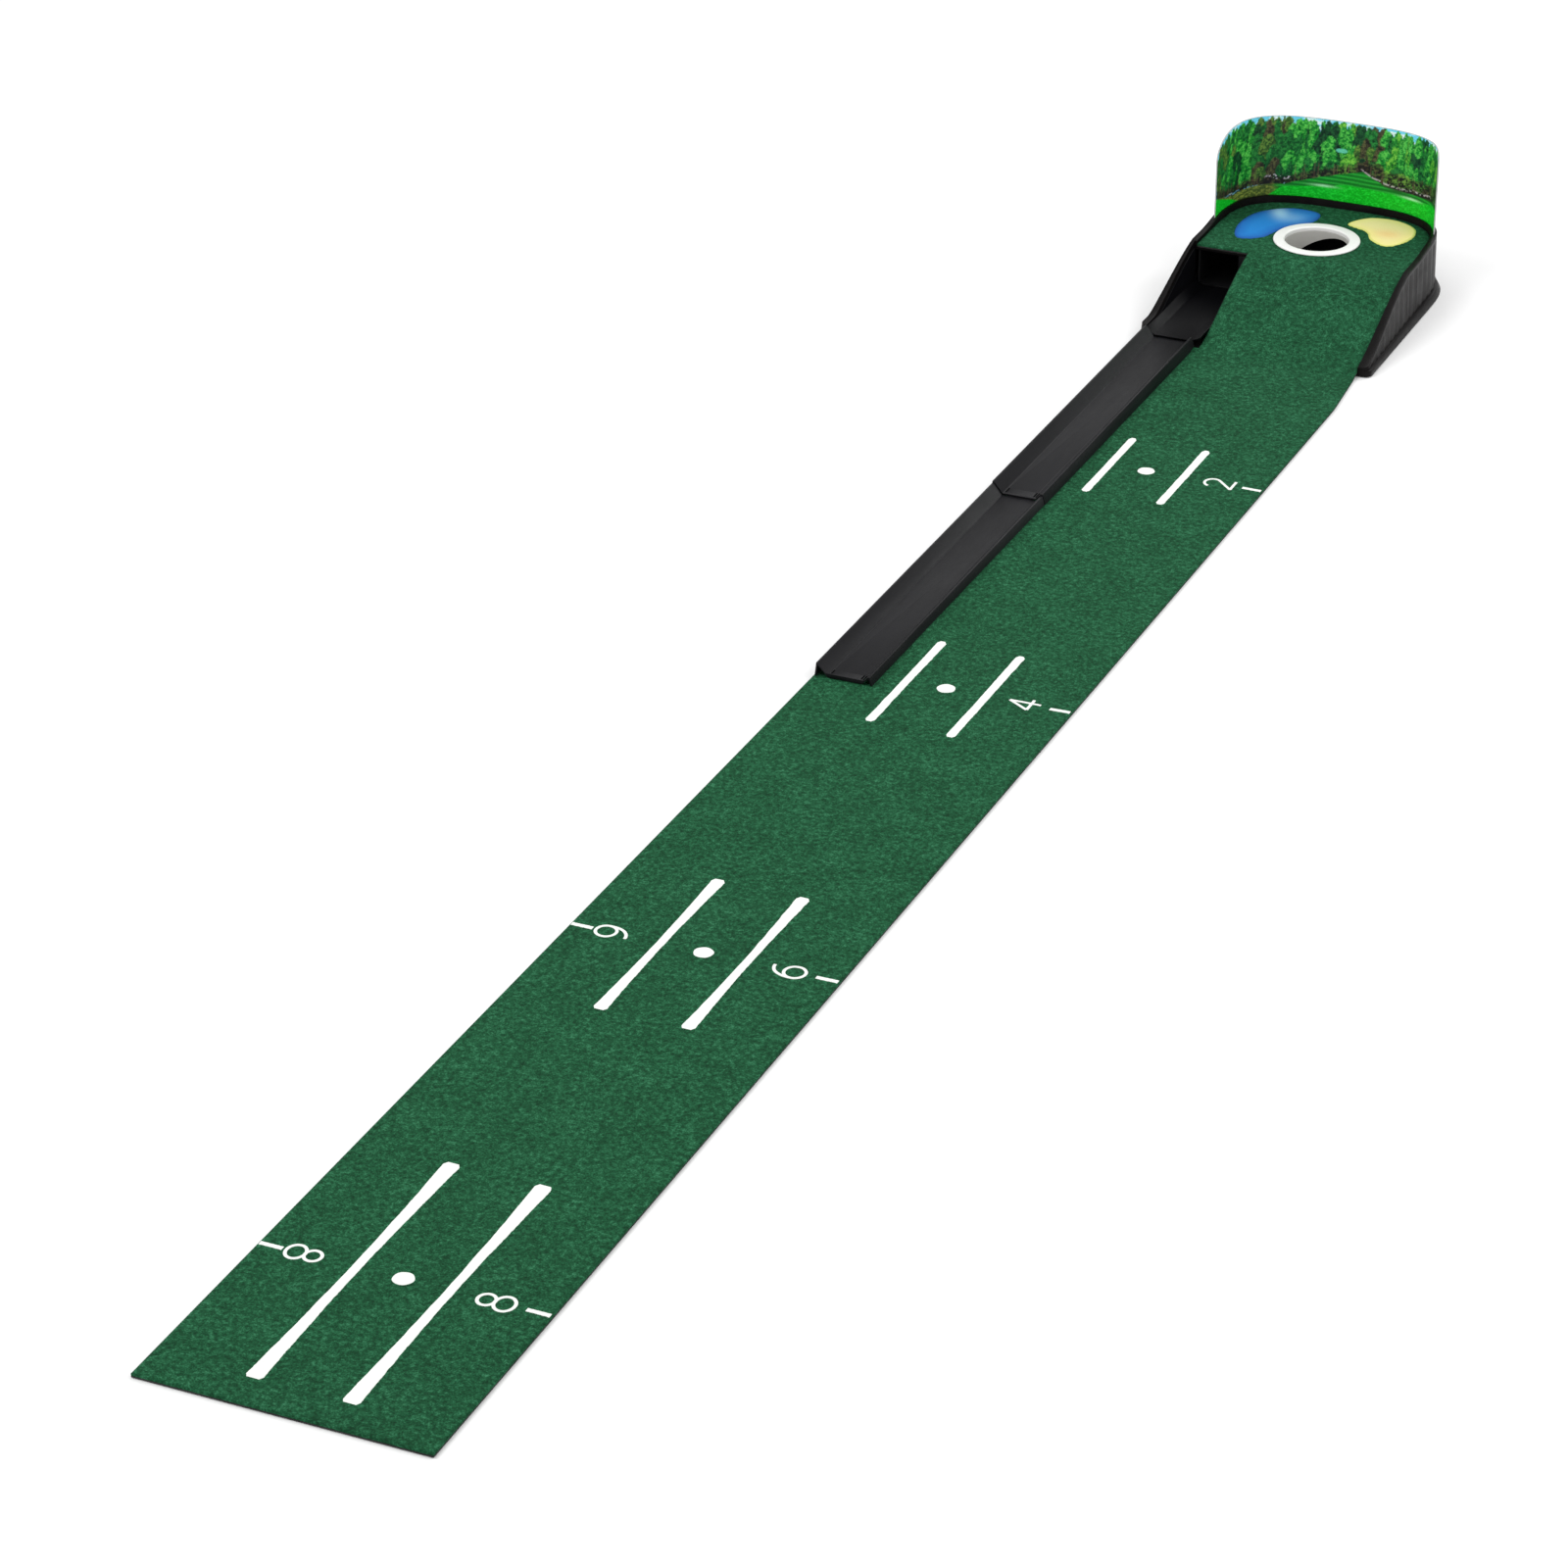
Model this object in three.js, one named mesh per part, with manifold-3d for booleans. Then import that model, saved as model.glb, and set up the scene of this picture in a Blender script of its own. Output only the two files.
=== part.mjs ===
// A practice putting mat: a long strip of turf that climbs a ramp to a raised deck with a cup,
// a printed backboard behind it, and a gutter that rolls the ball back beside the player.
// Millimetres, +Z up. Points are measured from the cup's axis at floor level, with +Y towards
// the backboard and +X to the player's right; the last lines move the origin below the middle.
import * as THREE from 'three';
import { mergeVertices } from 'three/addons/utils/BufferGeometryUtils.js';
import Module from 'manifold-3d';

const wasm = await Module();
wasm.setup();

// ---- driving dimensions ----
const GAP = 0.3; // between pieces that touch

const MAT_HALF = 140;
const MAT_FRONT = -2653;
const BACKING_THICK = 1.5;
const BACKING_SEAM = -238; // the backing is a floor length and a head length
const TURF_THICK = 4.5; // backing and pile together

const HEAD_HALF = 133; // half the turf's width on the ramp and deck
const DECK_BACK = 118; // the turf's rear edge
const DECK_ROUND = 3.2; // power of the superellipse that rounds the rear corners
const DECK_TOP = 68;
const RAMP_FOOT = -256;
const RAMP_HEAD = -64;
const NARROW_FROM = -345; // the turf narrows between these two to fit between the ramp's rims
const NARROW_TO = -248;

const BASE_FRONT = -238;
const BASE_BOTTOM = 1;
const FRONT_CORNER = 9;
const PLATE_THICK = 2.5;
const WALL_THICK = 3;
const RIM_WIDTH = 7.5;
const RIM_LOW = 3.5; // above the turf beside the ramp
const RIM_HIGH = 8; // above the turf behind the cup
const LEFT_RIM_MIN = 22;
const FLARE_FRONT = 6; // how far the skirt's foot stands out past its top
const FLARE_REAR = 1.5;
const FOOT_FLANGE = 3;
const FOOT_FLANGE_TOP = 8;
const FOOT_KICK = 5; // how much further the flange's lower edge stands out at the rear
const FLUTE_PITCH = 20;
const FLUTE_DEPTH = 1.2;
const PLAIN_RIM = 5; // the flutes stop this far below the rim's top

const GROOVE_IN = 3.0; // offsets outward from the turf's edge
const GROOVE_OUT = 5.4;
const PANEL_IN = 3.4;
const PANEL_OUT = 5.0;
const PANEL_FRONT_LEFT = 8; // where the backboard's left wing ends
const PANEL_FRONT_RIGHT = 60;
const PANEL_BOTTOM = 66.4;
const PANEL_TOP = 182;
const PANEL_LEFT_TOP = 150; // height of each wing's end
const PANEL_RIGHT_TOP = 158;
const PANEL_CORNER_FROM = 97; // the wings' top edge starts to round off here

const CUP_RADIUS = 40;
const CUP_FLANGE_RADIUS = 54;
const CUP_FLANGE_THICK = 2;
const CUP_WALL = 1.6;
const CUP_HOLE_IN_TURF = 48;
const CUP_HOLE_IN_BASE = 44;
const CUP_EXIT_BEARING = THREE.MathUtils.degToRad(38); // from +Y towards +X
const SLEEVE_CUT_MIDDLE = 40; // height of the sleeve's slanted lower edge on the cup's axis
const SLEEVE_CUT_SLOPE = 0.5;

const CHUTE_LEFT = -136.3;
const CHUTE_RIGHT = -65.5;
const CHUTE_REAR = -68;
const CHUTE_MOUTH = -242;
const CHUTE_FLOOR_REAR = 14.5;
const CHUTE_FLOOR_MOUTH = 13.1;
const SHEET = 1.8; // wall of the chute and the tracks

const TRACK_JOINT = -745;
const TRACK_END = -1247;
const UPPER_FLOOR = [10.8, 9.8]; // upstream, downstream
const LOWER_FLOOR = [7.7, 7.0];

const TRAY_TOP = 60.2;
const TRAY_BOTTOM = 12.4;

const RIBS_AT = [-128, -175, -215]; // cross ribs under the ramp
const RIB_THICK = 2.2;
const SKY = 100; // higher than any cut needs

const BLACK = { color: 0x17181a, roughness: 0.5, metalness: 0 };
const DARK_GREY = { color: 0x2b2c2f, roughness: 0.45, metalness: 0 };
const GREEN = { color: 0x14522f, roughness: 0.95, metalness: 0 };
const RUBBER = { color: 0x1b1b1b, roughness: 0.9, metalness: 0 };
const WHITE = { color: 0xf0f0ea, roughness: 0.4, metalness: 0 };
const LIGHT_GREY = { color: 0xc9c8c4, roughness: 0.45, metalness: 0 };
const BLUE = { color: 0x1c63bd, roughness: 0.6, metalness: 0 };
const SAND = { color: 0xe4cd6e, roughness: 0.8, metalness: 0 };
const LEAF = { color: 0x2f7a2c, roughness: 0.5, metalness: 0 };
const STEEL = { color: 0xb4b6b8, roughness: 0.35, metalness: 1 };
const TAPE = { color: 0xd8d6cc, roughness: 0.7, metalness: 0 };

// ---- heights along the mat ----
const smooth = (t) => THREE.MathUtils.smoothstep(t, 0, 1);
const DECK_UNDER = DECK_TOP - TURF_THICK;

// Height of the carpet's underside: flat, a ramp with soft ends, then the deck.
function turfUnder(y) {
  const t = THREE.MathUtils.clamp((y - RAMP_FOOT) / (RAMP_HEAD - RAMP_FOOT), 0, 1);
  return DECK_UNDER * (smooth(t) + t) / 2;
}

const turfTop = (y) => turfUnder(y) + TURF_THICK;
const plateTop = (y) => turfUnder(y) - GAP;
const plateUnder = (y) => plateTop(y) - PLATE_THICK;
const rimTop = (y) => turfTop(y) + RIM_LOW + (RIM_HIGH - RIM_LOW) * smooth((y + 30) / 60);

// Stations along Y that follow the ramp's curve closely.
function stations(from, to) {
  const list = [from];
  const steps = 16;
  for (let i = 0; i <= steps; i += 1) {
    const y = RAMP_FOOT + (RAMP_HEAD - RAMP_FOOT) * i / steps;
    if (y > from + 1 && y < to - 1) list.push(y);
  }
  for (const y of [-30, -10, 10, 30]) {
    if (y > from + 1 && y < to - 1) list.push(y);
  }
  list.push(to);
  return list;
}

// A closed outline in the Y-Z plane between two heights that change along Y.
function band(from, to, low, high) {
  const ys = stations(from, to);
  const lower = ys.map((y) => [y, low(y)]);
  const upper = ys.map((y) => [y, high(y)]).reverse();
  return [...lower, ...upper];
}

// ---- outlines seen from above ----
// The head's outline: straight sides from the front, then a superellipse round the back.
function headOutline(offset, front) {
  const half = HEAD_HALF + offset;
  const back = DECK_BACK + offset;
  const points = [[half, front]];
  const steps = 48;
  for (let i = 0; i <= steps; i += 1) {
    const angle = Math.PI * i / steps;
    const cos = Math.cos(angle);
    const x = Math.sign(cos) * Math.abs(cos) ** (2 / DECK_ROUND) * half;
    const y = Math.abs(Math.sin(angle)) ** (2 / DECK_ROUND) * back;
    points.push([x, y]);
  }
  points.push([-half, front]);
  return points;
}

function arcPoints(x, y, radius, fromDegrees, toDegrees, steps) {
  const points = [];
  for (let i = 0; i <= steps; i += 1) {
    const angle = THREE.MathUtils.degToRad(fromDegrees + (toDegrees - fromDegrees) * i / steps);
    points.push([x + radius * Math.cos(angle), y + radius * Math.sin(angle)]);
  }
  return points;
}

// The moulding's outline: rounded front corners, and shallow flutes along the sides and back.
function skirtOutline(offset, fluteDepth) {
  const half = HEAD_HALF + offset;
  const arcY = BASE_FRONT + FRONT_CORNER;
  const vectors = headOutline(offset, arcY).map(([x, y]) => new THREE.Vector2(x, y));
  const sides = new THREE.Path(vectors);
  const stepsPerFlute = fluteDepth > 0 ? 4 : 2;
  const count = Math.round(sides.getLength() / FLUTE_PITCH) * stepsPerFlute;
  const points = [];
  for (let i = 0; i <= count; i += 1) {
    const spot = sides.getPoint(i / count);
    const tangent = sides.getTangent(i / count);
    const push = -fluteDepth * (1 - Math.cos(2 * Math.PI * i / stepsPerFlute)) / 2;
    points.push([spot.x + tangent.y * push, spot.y - tangent.x * push]);
  }
  const leftArc = arcPoints(-half + FRONT_CORNER, arcY, FRONT_CORNER, 180, 270, 4).slice(1);
  const rightArc = arcPoints(half - FRONT_CORNER, arcY, FRONT_CORNER, 270, 360, 4).slice(0, -1);
  return [...points, ...leftArc, ...rightArc];
}

// A smooth closed outline through a few points given anticlockwise, drawn in by an inset.
function blobOutline(points, inset) {
  const vectors = points.map(([x, y]) => new THREE.Vector3(x, y, 0));
  const curve = new THREE.CatmullRomCurve3(vectors, true);
  const steps = 48;
  const outline = [];
  for (let i = 0; i < steps; i += 1) {
    const spot = curve.getPoint(i / steps);
    const tangent = curve.getTangent(i / steps);
    outline.push([spot.x - tangent.y * inset, spot.y + tangent.x * inset]);
  }
  return outline;
}

// ---- solids ----
function solid(geometry) {
  geometry.deleteAttribute('normal');
  geometry.deleteAttribute('uv');
  const merged = mergeVertices(geometry, 1e-4);
  const mesh = new wasm.Mesh({
    numProp: 3,
    vertProperties: new Float32Array(merged.attributes.position.array),
    triVerts: new Uint32Array(merged.index.array),
  });
  return new wasm.Manifold(mesh);
}

function extruded(points, depth) {
  const shape = new THREE.Shape(points.map(([x, y]) => new THREE.Vector2(x, y)));
  return new THREE.ExtrudeGeometry(shape, { depth, steps: 1, bevelEnabled: false });
}

// An X-Y outline raised from one height to another.
function upright(points, low, high, change = (geometry) => geometry) {
  return solid(change(extruded(points, high - low).translate(0, 0, low)));
}

// A Y-Z outline carried from left to right.
function across(points, left, right) {
  const turn = new THREE.Matrix4().makeBasis(
    new THREE.Vector3(0, 1, 0),
    new THREE.Vector3(0, 0, 1),
    new THREE.Vector3(1, 0, 0),
  );
  return solid(extruded(points, right - left).applyMatrix4(turn).translate(left, 0, 0));
}

// An X-Z outline carried from rear to front, raised by a height that changes evenly on the way.
function along(points, rear, front, riseRear = 0, riseFront = 0) {
  const turn = new THREE.Matrix4().makeBasis(
    new THREE.Vector3(1, 0, 0),
    new THREE.Vector3(0, 0, 1),
    new THREE.Vector3(0, -1, 0),
  );
  const geometry = extruded(points, rear - front).applyMatrix4(turn).translate(0, rear, 0);
  const place = geometry.attributes.position;
  for (let i = 0; i < place.count; i += 1) {
    const t = (rear - place.getY(i)) / (rear - front);
    place.setZ(i, place.getZ(i) + riseRear + (riseFront - riseRear) * t);
  }
  return solid(geometry);
}

function block(left, right, front, rear, low, high) {
  const geometry = new THREE.BoxGeometry(right - left, rear - front, high - low);
  geometry.translate((left + right) / 2, (front + rear) / 2, (low + high) / 2);
  return solid(geometry);
}

function rod(x, y, radius, low, high, sides = 16) {
  const geometry = new THREE.CylinderGeometry(radius, radius, high - low, sides);
  geometry.rotateX(Math.PI / 2).translate(x, y, (low + high) / 2);
  return solid(geometry);
}

// A radius-height profile, listed anticlockwise and closed, turned about a vertical axis.
function turned(profile, sides, x = 0, y = 0) {
  const points = [...profile, profile[0]].map(([r, z]) => new THREE.Vector2(r, z));
  return solid(new THREE.LatheGeometry(points, sides).rotateX(Math.PI / 2).translate(x, y, 0));
}

// The skirt leans outward towards the floor, more at the front than at the back.
function flare(geometry) {
  const place = geometry.attributes.position;
  for (let i = 0; i < place.count; i += 1) {
    const down = 1 - place.getZ(i) / (DECK_TOP + RIM_HIGH);
    const back = smooth((place.getY(i) - BASE_FRONT) / -BASE_FRONT);
    const outX = FLARE_FRONT + (FLARE_REAR - FLARE_FRONT) * back;
    place.setX(i, place.getX(i) * (1 + outX * down / (HEAD_HALF + RIM_WIDTH)));
    if (place.getY(i) > 0) {
      place.setY(i, place.getY(i) * (1 + FLARE_REAR * down / (DECK_BACK + RIM_WIDTH)));
    }
  }
  return geometry;
}

// The flange leans out further still towards the rear, down to a thin lower edge.
function kick(geometry) {
  const place = flare(geometry).attributes.position;
  for (let i = 0; i < place.count; i += 1) {
    const down = 1 - place.getZ(i) / FOOT_FLANGE_TOP;
    const back = smooth((place.getY(i) - BASE_FRONT) / -BASE_FRONT);
    place.setX(i, place.getX(i) * (1 + FOOT_KICK * down * back / (HEAD_HALF + RIM_WIDTH)));
  }
  return geometry;
}

const mat = new THREE.Group();

function addPiece(name, body, look) {
  const { vertProperties, triVerts } = body.getMesh();
  const geometry = new THREE.BufferGeometry();
  geometry.setAttribute('position', new THREE.BufferAttribute(vertProperties, 3));
  geometry.setIndex(new THREE.BufferAttribute(triVerts, 1));
  geometry.computeVertexNormals();
  const mesh = new THREE.Mesh(geometry, new THREE.MeshStandardMaterial(look));
  mesh.name = name;
  mat.add(mesh);
}

// ---- the turf: one carpet of two bonded layers ----
const WATER = [
  [-108, 14], [-94, -28], [-68, -18], [-52, 22], [-24, 60], [-26, 90], [-62, 95], [-98, 66],
];
const TRAP = [
  [18, 70], [46, 55], [62, 28], [86, 17], [105, 48], [101, 86], [72, 106], [36, 101],
];

function carpetLayer(above, below) {
  const outline = [
    [MAT_HALF, MAT_FRONT],
    [MAT_HALF, NARROW_FROM],
    ...headOutline(0, NARROW_TO),
    [-MAT_HALF, NARROW_FROM],
    [-MAT_HALF, MAT_FRONT],
  ];
  const low = (y) => turfUnder(y) + above;
  const high = (y) => turfUnder(y) + below;
  const sheet = across(band(MAT_FRONT - 10, DECK_BACK + 10, low, high), -MAT_HALF - 10, MAT_HALF + 10);
  return sheet
    .intersect(upright(outline, -10, SKY))
    .subtract(rod(0, 0, CUP_HOLE_IN_TURF, DECK_UNDER - 10, SKY, 48))
    .subtract(block(-MAT_HALF - 10, CHUTE_RIGHT, CHUTE_MOUTH - 2, CHUTE_REAR, -10, SKY));
}

function addTurf() {
  const pile = carpetLayer(BACKING_THICK + GAP, TURF_THICK)
    .subtract(upright(blobOutline(WATER, 0), DECK_UNDER - 10, SKY))
    .subtract(upright(blobOutline(TRAP, 0), DECK_UNDER - 10, SKY));
  const backing = carpetLayer(0, BACKING_THICK);
  const onTheHead = block(-200, 200, BACKING_SEAM + GAP, DECK_BACK + 50, -10, SKY);
  const onTheFloor = block(-200, 200, MAT_FRONT - 50, BACKING_SEAM, -10, SKY);
  addPiece('mat_backing', backing.intersect(onTheFloor), RUBBER);
  addPiece('head_backing', backing.intersect(onTheHead), RUBBER);
  addPiece('turf_pile', pile, GREEN);
  const low = DECK_UNDER + BACKING_THICK + GAP;
  addPiece('water_hazard_inlay', upright(blobOutline(WATER, GAP), low, DECK_TOP - GAP), BLUE);
  addPiece('sand_trap_inlay', upright(blobOutline(TRAP, GAP), low, DECK_TOP - GAP), SAND);
}

// ---- fasteners and pads under the head: [x, y, height of the ear's underside] ----
const EAR_THICK = 2.2;
const SCREW_HEAD_RADIUS = 3.6;
const SCREW_HEAD_THICK = 2.2;
const SCREW_RADIUS = 1.6;
const SCREW_LENGTH = 11;
const PILOT_RADIUS = 1.9;
const BOSS_RADIUS = 4.5;
const TRAY_EAR_LOW = 47.6;
const TRAY_SCREWS = [[85, -25], [85, 60], [-64, 10], [0, -59], [30, 103], [-60, 103]];
const CHUTE_SCREWS = [[-58, -95, 41.5], [-58, -125, 28.5]];
const ALL_SCREWS = [...TRAY_SCREWS.map(([x, y]) => [x, y, TRAY_EAR_LOW]), ...CHUTE_SCREWS];

const FEET = [
  ['front_left_foot', -133, -205],
  ['front_right_foot', 133, -205],
  ['rear_left_foot', -127, 62],
  ['rear_right_foot', 127, 62],
];
const FOOT_RADIUS = 9;
const FOOT_THICK = 4.7;

// Strips of tape in shallow pockets: [name, left, right, front, rear]
const TAPES = [
  ['turf_tape_front', -50, 125, -62, -50],
  ['turf_tape_rear', -70, 70, 84, 100],
];
const TAPE_THICK = 0.6;

// ---- the base: ramp, deck, rims, skirts and the groove for the backboard, in one moulding ----
function ringBetween(inner, outer, front, low, high) {
  const whole = upright(headOutline(outer, -20), low, high);
  const middle = upright(headOutline(inner, -30), low - 1, high + 1);
  return whole.subtract(middle).intersect(block(-200, 200, front, DECK_BACK + 50, low - 1, high + 1));
}

function baseOuter() {
  const under = (top) => band(BASE_FRONT - 30, DECK_BACK + 30, () => 0, top);
  const leftTop = (y) => Math.max(rimTop(y), LEFT_RIM_MIN);
  const heights = across(under(rimTop), -200, 200)
    .add(across(under(leftTop), -200, CHUTE_LEFT));
  const skirt = upright(skirtOutline(RIM_WIDTH, FLUTE_DEPTH), BASE_BOTTOM, SKY, flare);
  const rimLow = (y) => rimTop(y) - PLAIN_RIM;
  const plainRim = upright(skirtOutline(RIM_WIDTH, 0), BASE_BOTTOM, SKY, flare)
    .intersect(across(band(BASE_FRONT - 30, DECK_BACK + 30, rimLow, () => SKY), -200, 200));
  const flangeOutline = skirtOutline(RIM_WIDTH + FOOT_FLANGE, 0);
  const flange = upright(flangeOutline, BASE_BOTTOM, FOOT_FLANGE_TOP, kick);
  const belowRim = across(under((y) => Math.max(rimTop(y) - 2, BASE_BOTTOM + 1)), -200, 200);
  return skirt.add(plainRim).intersect(heights).add(flange.intersect(belowRim));
}

function baseRibs() {
  const room = upright(skirtOutline(RIM_WIDTH - WALL_THICK + 1, 0), BASE_BOTTOM, SKY, flare)
    .intersect(across(band(BASE_FRONT, DECK_BACK, () => 0, (y) => plateTop(y) - 1), -200, 200));
  let ribs = block(-50, 200, RIBS_AT[0], RIBS_AT[0] + RIB_THICK, BASE_BOTTOM, SKY);
  for (const y of RIBS_AT.slice(1)) {
    ribs = ribs.add(block(-50, 200, y, y + RIB_THICK, BASE_BOTTOM, SKY));
  }
  return ribs.intersect(room);
}

function addBase() {
  const carpetRoom = upright(headOutline(GAP, BASE_FRONT - 20), 0, SKY)
    .intersect(across(band(BASE_FRONT - 20, DECK_BACK + 20, plateTop, () => SKY), -200, 200));
  const hollowFront = BASE_FRONT + 10;
  const hollow = upright(skirtOutline(RIM_WIDTH - WALL_THICK, 0), -5, SKY, flare)
    .intersect(across(band(hollowFront, DECK_BACK + 20, () => -5, plateUnder), -200, 200))
    .subtract(block(-200, CHUTE_LEFT, BASE_FRONT, CHUTE_REAR - 40, FOOT_FLANGE_TOP, SKY));
  const chuteRoom = block(CHUTE_LEFT, CHUTE_RIGHT, BASE_FRONT - 30, CHUTE_REAR, FOOT_FLANGE_TOP, SKY);
  const grooveFrom = (front) => ringBetween(GROOVE_IN, GROOVE_OUT, front - 2, PANEL_BOTTOM - 1, SKY);
  const leftGroove = grooveFrom(PANEL_FRONT_LEFT).intersect(block(-200, 0, -50, 200, 0, SKY + 5));
  let base = baseOuter()
    .subtract(carpetRoom)
    .subtract(hollow)
    .add(baseRibs())
    .subtract(chuteRoom)
    .subtract(grooveFrom(PANEL_FRONT_RIGHT))
    .subtract(leftGroove)
    .subtract(rod(0, 0, CUP_HOLE_IN_BASE, DECK_UNDER - 10, SKY, 48));
  for (const [x, y, earLow] of ALL_SCREWS) {
    const bossLow = earLow + EAR_THICK + GAP;
    base = base
      .add(rod(x, y, BOSS_RADIUS, bossLow, plateUnder(y) + 1))
      .subtract(rod(x, y, PILOT_RADIUS, bossLow - 1, earLow + SCREW_LENGTH + 1));
  }
  for (const [, x, y] of FEET) {
    base = base
      .add(rod(x, y, FOOT_RADIUS + 3, BASE_BOTTOM, FOOT_THICK + 2.3, 32))
      .subtract(rod(x, y, FOOT_RADIUS + GAP, -1, FOOT_THICK + GAP, 32));
  }
  const tapeLow = plateTop(0) - TAPE_THICK - GAP;
  for (const [, left, right, front, rear] of TAPES) {
    base = base.subtract(block(left - GAP, right + GAP, front - GAP, rear + GAP, tapeLow, plateTop(0) + 1));
  }
  addPiece('base_shell', base, BLACK);
}

function addFeetTapesAndScrews() {
  for (const [name, x, y] of FEET) {
    addPiece(name, rod(x, y, FOOT_RADIUS, 0, FOOT_THICK, 32), RUBBER);
  }
  for (const [name, left, right, front, rear] of TAPES) {
    const low = plateTop(0) - TAPE_THICK;
    addPiece(name, block(left, right, front, rear, low, plateTop(0)), TAPE);
  }
  const screw = ([x, y, earLow]) => {
    const headTop = earLow - GAP;
    const headLow = headTop - SCREW_HEAD_THICK;
    const profile = [
      [0, headLow],
      [SCREW_HEAD_RADIUS * 0.75, headLow],
      [SCREW_HEAD_RADIUS, headLow + SCREW_HEAD_THICK / 2],
      [SCREW_HEAD_RADIUS, headTop],
      [SCREW_RADIUS, headTop],
      [SCREW_RADIUS, headTop + SCREW_LENGTH - 2],
      [0, headTop + SCREW_LENGTH],
    ];
    const points = profile.map(([r, z]) => new THREE.Vector2(r, z));
    return solid(new THREE.LatheGeometry(points, 12).rotateX(Math.PI / 2).translate(x, y, 0));
  };
  TRAY_SCREWS.forEach(([x, y], i) => {
    addPiece(`tray_screw_${i + 1}`, screw([x, y, TRAY_EAR_LOW]), STEEL);
  });
  CHUTE_SCREWS.forEach((place, i) => addPiece(`chute_screw_${i + 1}`, screw(place), STEEL));
}

// ---- the tray under the deck: the ball leaves the cup, rolls along the back and down the left ----
const TRAY_OUTLINE = [
  [-50, -52], [78, -52], [78, 96], [-112, 96], [-126, 78], [-131, 58],
  [-131, -66], [-77, -66], [-77, 42], [-50, 42],
];
const TRAY_INSIDE = [
  [-48, -50], [76, -50], [76, 94], [-111, 94], [-124, 77], [-129, 57.5],
  [-129, -70], [-79, -70], [-79, 44], [-48, 44],
];

function addTray() {
  const shellOfTray = upright(TRAY_OUTLINE, TRAY_BOTTOM, TRAY_TOP)
    .subtract(upright(TRAY_INSIDE, TRAY_BOTTOM - 1, TRAY_TOP + 1));
  const underCup = across([[-60, 0], [44, 0], [44, 16.4], [-60, 16.8]], -50, 78);
  const alongBack = along([[-140, 0], [80, 0], [80, 16.3], [-140, 15.5]], 100, 44);
  const downLeft = along([[-140, 0], [-77, 0], [-77, 1], [-140, 1]], 44, -70)
    .add(across([[-70, 0], [44, 0], [44, 15.4], [-70, 14.8]], -140, -77));
  const floor = underCup.add(alongBack).add(downLeft)
    .intersect(upright(TRAY_OUTLINE, TRAY_BOTTOM, TRAY_TOP));
  const besideChute = block(-77.5, CHUTE_RIGHT, -66, -64, TRAY_BOTTOM, TRAY_TOP);
  let tray = shellOfTray.add(floor).add(besideChute);
  const earHigh = TRAY_EAR_LOW + EAR_THICK;
  const ears = [
    [76.5, 91, -32, -18], [76.5, 91, 53, 67], [-78.5, -48.5, 3, 17],
    [-7, 7, -66, -50.5], [23, 37, 94.5, 110], [-67, -53, 94.5, 110],
  ];
  for (const [left, right, front, rear] of ears) {
    tray = tray.add(block(left, right, front, rear, TRAY_EAR_LOW, earHigh));
  }
  for (const [x, y] of TRAY_SCREWS) {
    tray = tray.subtract(rod(x, y, PILOT_RADIUS, TRAY_EAR_LOW - 1, earHigh + 1));
  }
  addPiece('ball_tray', tray, DARK_GREY);
}

// ---- the chute beside the ramp ----
function addChute() {
  const left = CHUTE_LEFT + 0.4;
  const right = CHUTE_RIGHT - 0.5;
  const floorLeft = left + 11;
  const floorRight = right - 11;
  const bend = 6; // height of the slanted part of the left wall, lower than its front end
  const lowBend = 3.6; // and of the right wall, whose front end is lower still
  const profile = [
    [left, SKY], [left, bend], [floorLeft, -SHEET], [floorRight, -SHEET], [right, lowBend - 1.4],
    [right, SKY], [right - SHEET, SKY], [right - SHEET, lowBend], [floorRight - 0.9, 0],
    [floorLeft + 0.9, 0], [left + SHEET, bend + 0.6], [left + SHEET, SKY],
  ];
  const trough = along(profile, CHUTE_REAR - 0.5, CHUTE_MOUTH, CHUTE_FLOOR_REAR, CHUTE_FLOOR_MOUTH);
  const middle = (left + right) / 2;
  const leftTop = (y) => Math.max(turfUnder(y) + 1, LEFT_RIM_MIN - 2);
  const rightTop = (y) => Math.max(turfUnder(y) - 0.5, CHUTE_FLOOR_MOUTH + 5);
  const below = (top) => band(CHUTE_MOUTH - 1, CHUTE_REAR + 1, () => 0, top);
  let chute = trough.intersect(
    across(below(leftTop), -200, middle).add(across(below(rightTop), middle, 0)),
  );
  for (const [x, y, low] of CHUTE_SCREWS) {
    chute = chute
      .add(block(right - 1, x + 7, y - 7, y + 7, low, low + EAR_THICK))
      .subtract(rod(x, y, PILOT_RADIUS, low - 1, low + EAR_THICK + 1));
  }
  addPiece('return_chute', chute, BLACK);
}

// ---- the two tracks that lie on the turf ----
// Section of a track, with its floor at height 0: a tall left wall, a low right lip, open below.
const TRACK_SECTION = [
  [-139.5, -12], [-136.5, 13], [-134.5, 13], [-124, 0], [-84, 0], [-77.5, 7], [-75.5, 7],
  [-69.5, -12], [-71.4, -12], [-76.9, 4.6], [-84.7, -SHEET], [-123.3, -SHEET],
  [-134.9, 10.6], [-137.6, -12],
];

function track(rear, front, [floorRear, floorFront]) {
  const tongue = block(-118, -90, rear - 5, rear + 14, floorRear - SHEET, floorRear - 0.05);
  let body = along(TRACK_SECTION, rear, front, floorRear, floorFront)
    .subtract(across(band(front - 10, rear + 30, () => -SKY, (y) => turfTop(y) + GAP), -200, 0))
    .add(tongue);
  for (const x of [-122.5, -88.6, -85.8]) {
    body = body.subtract(block(x, x + 1.6, front + 4, front + 16, 0, floorFront + 20));
  }
  return body;
}

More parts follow.
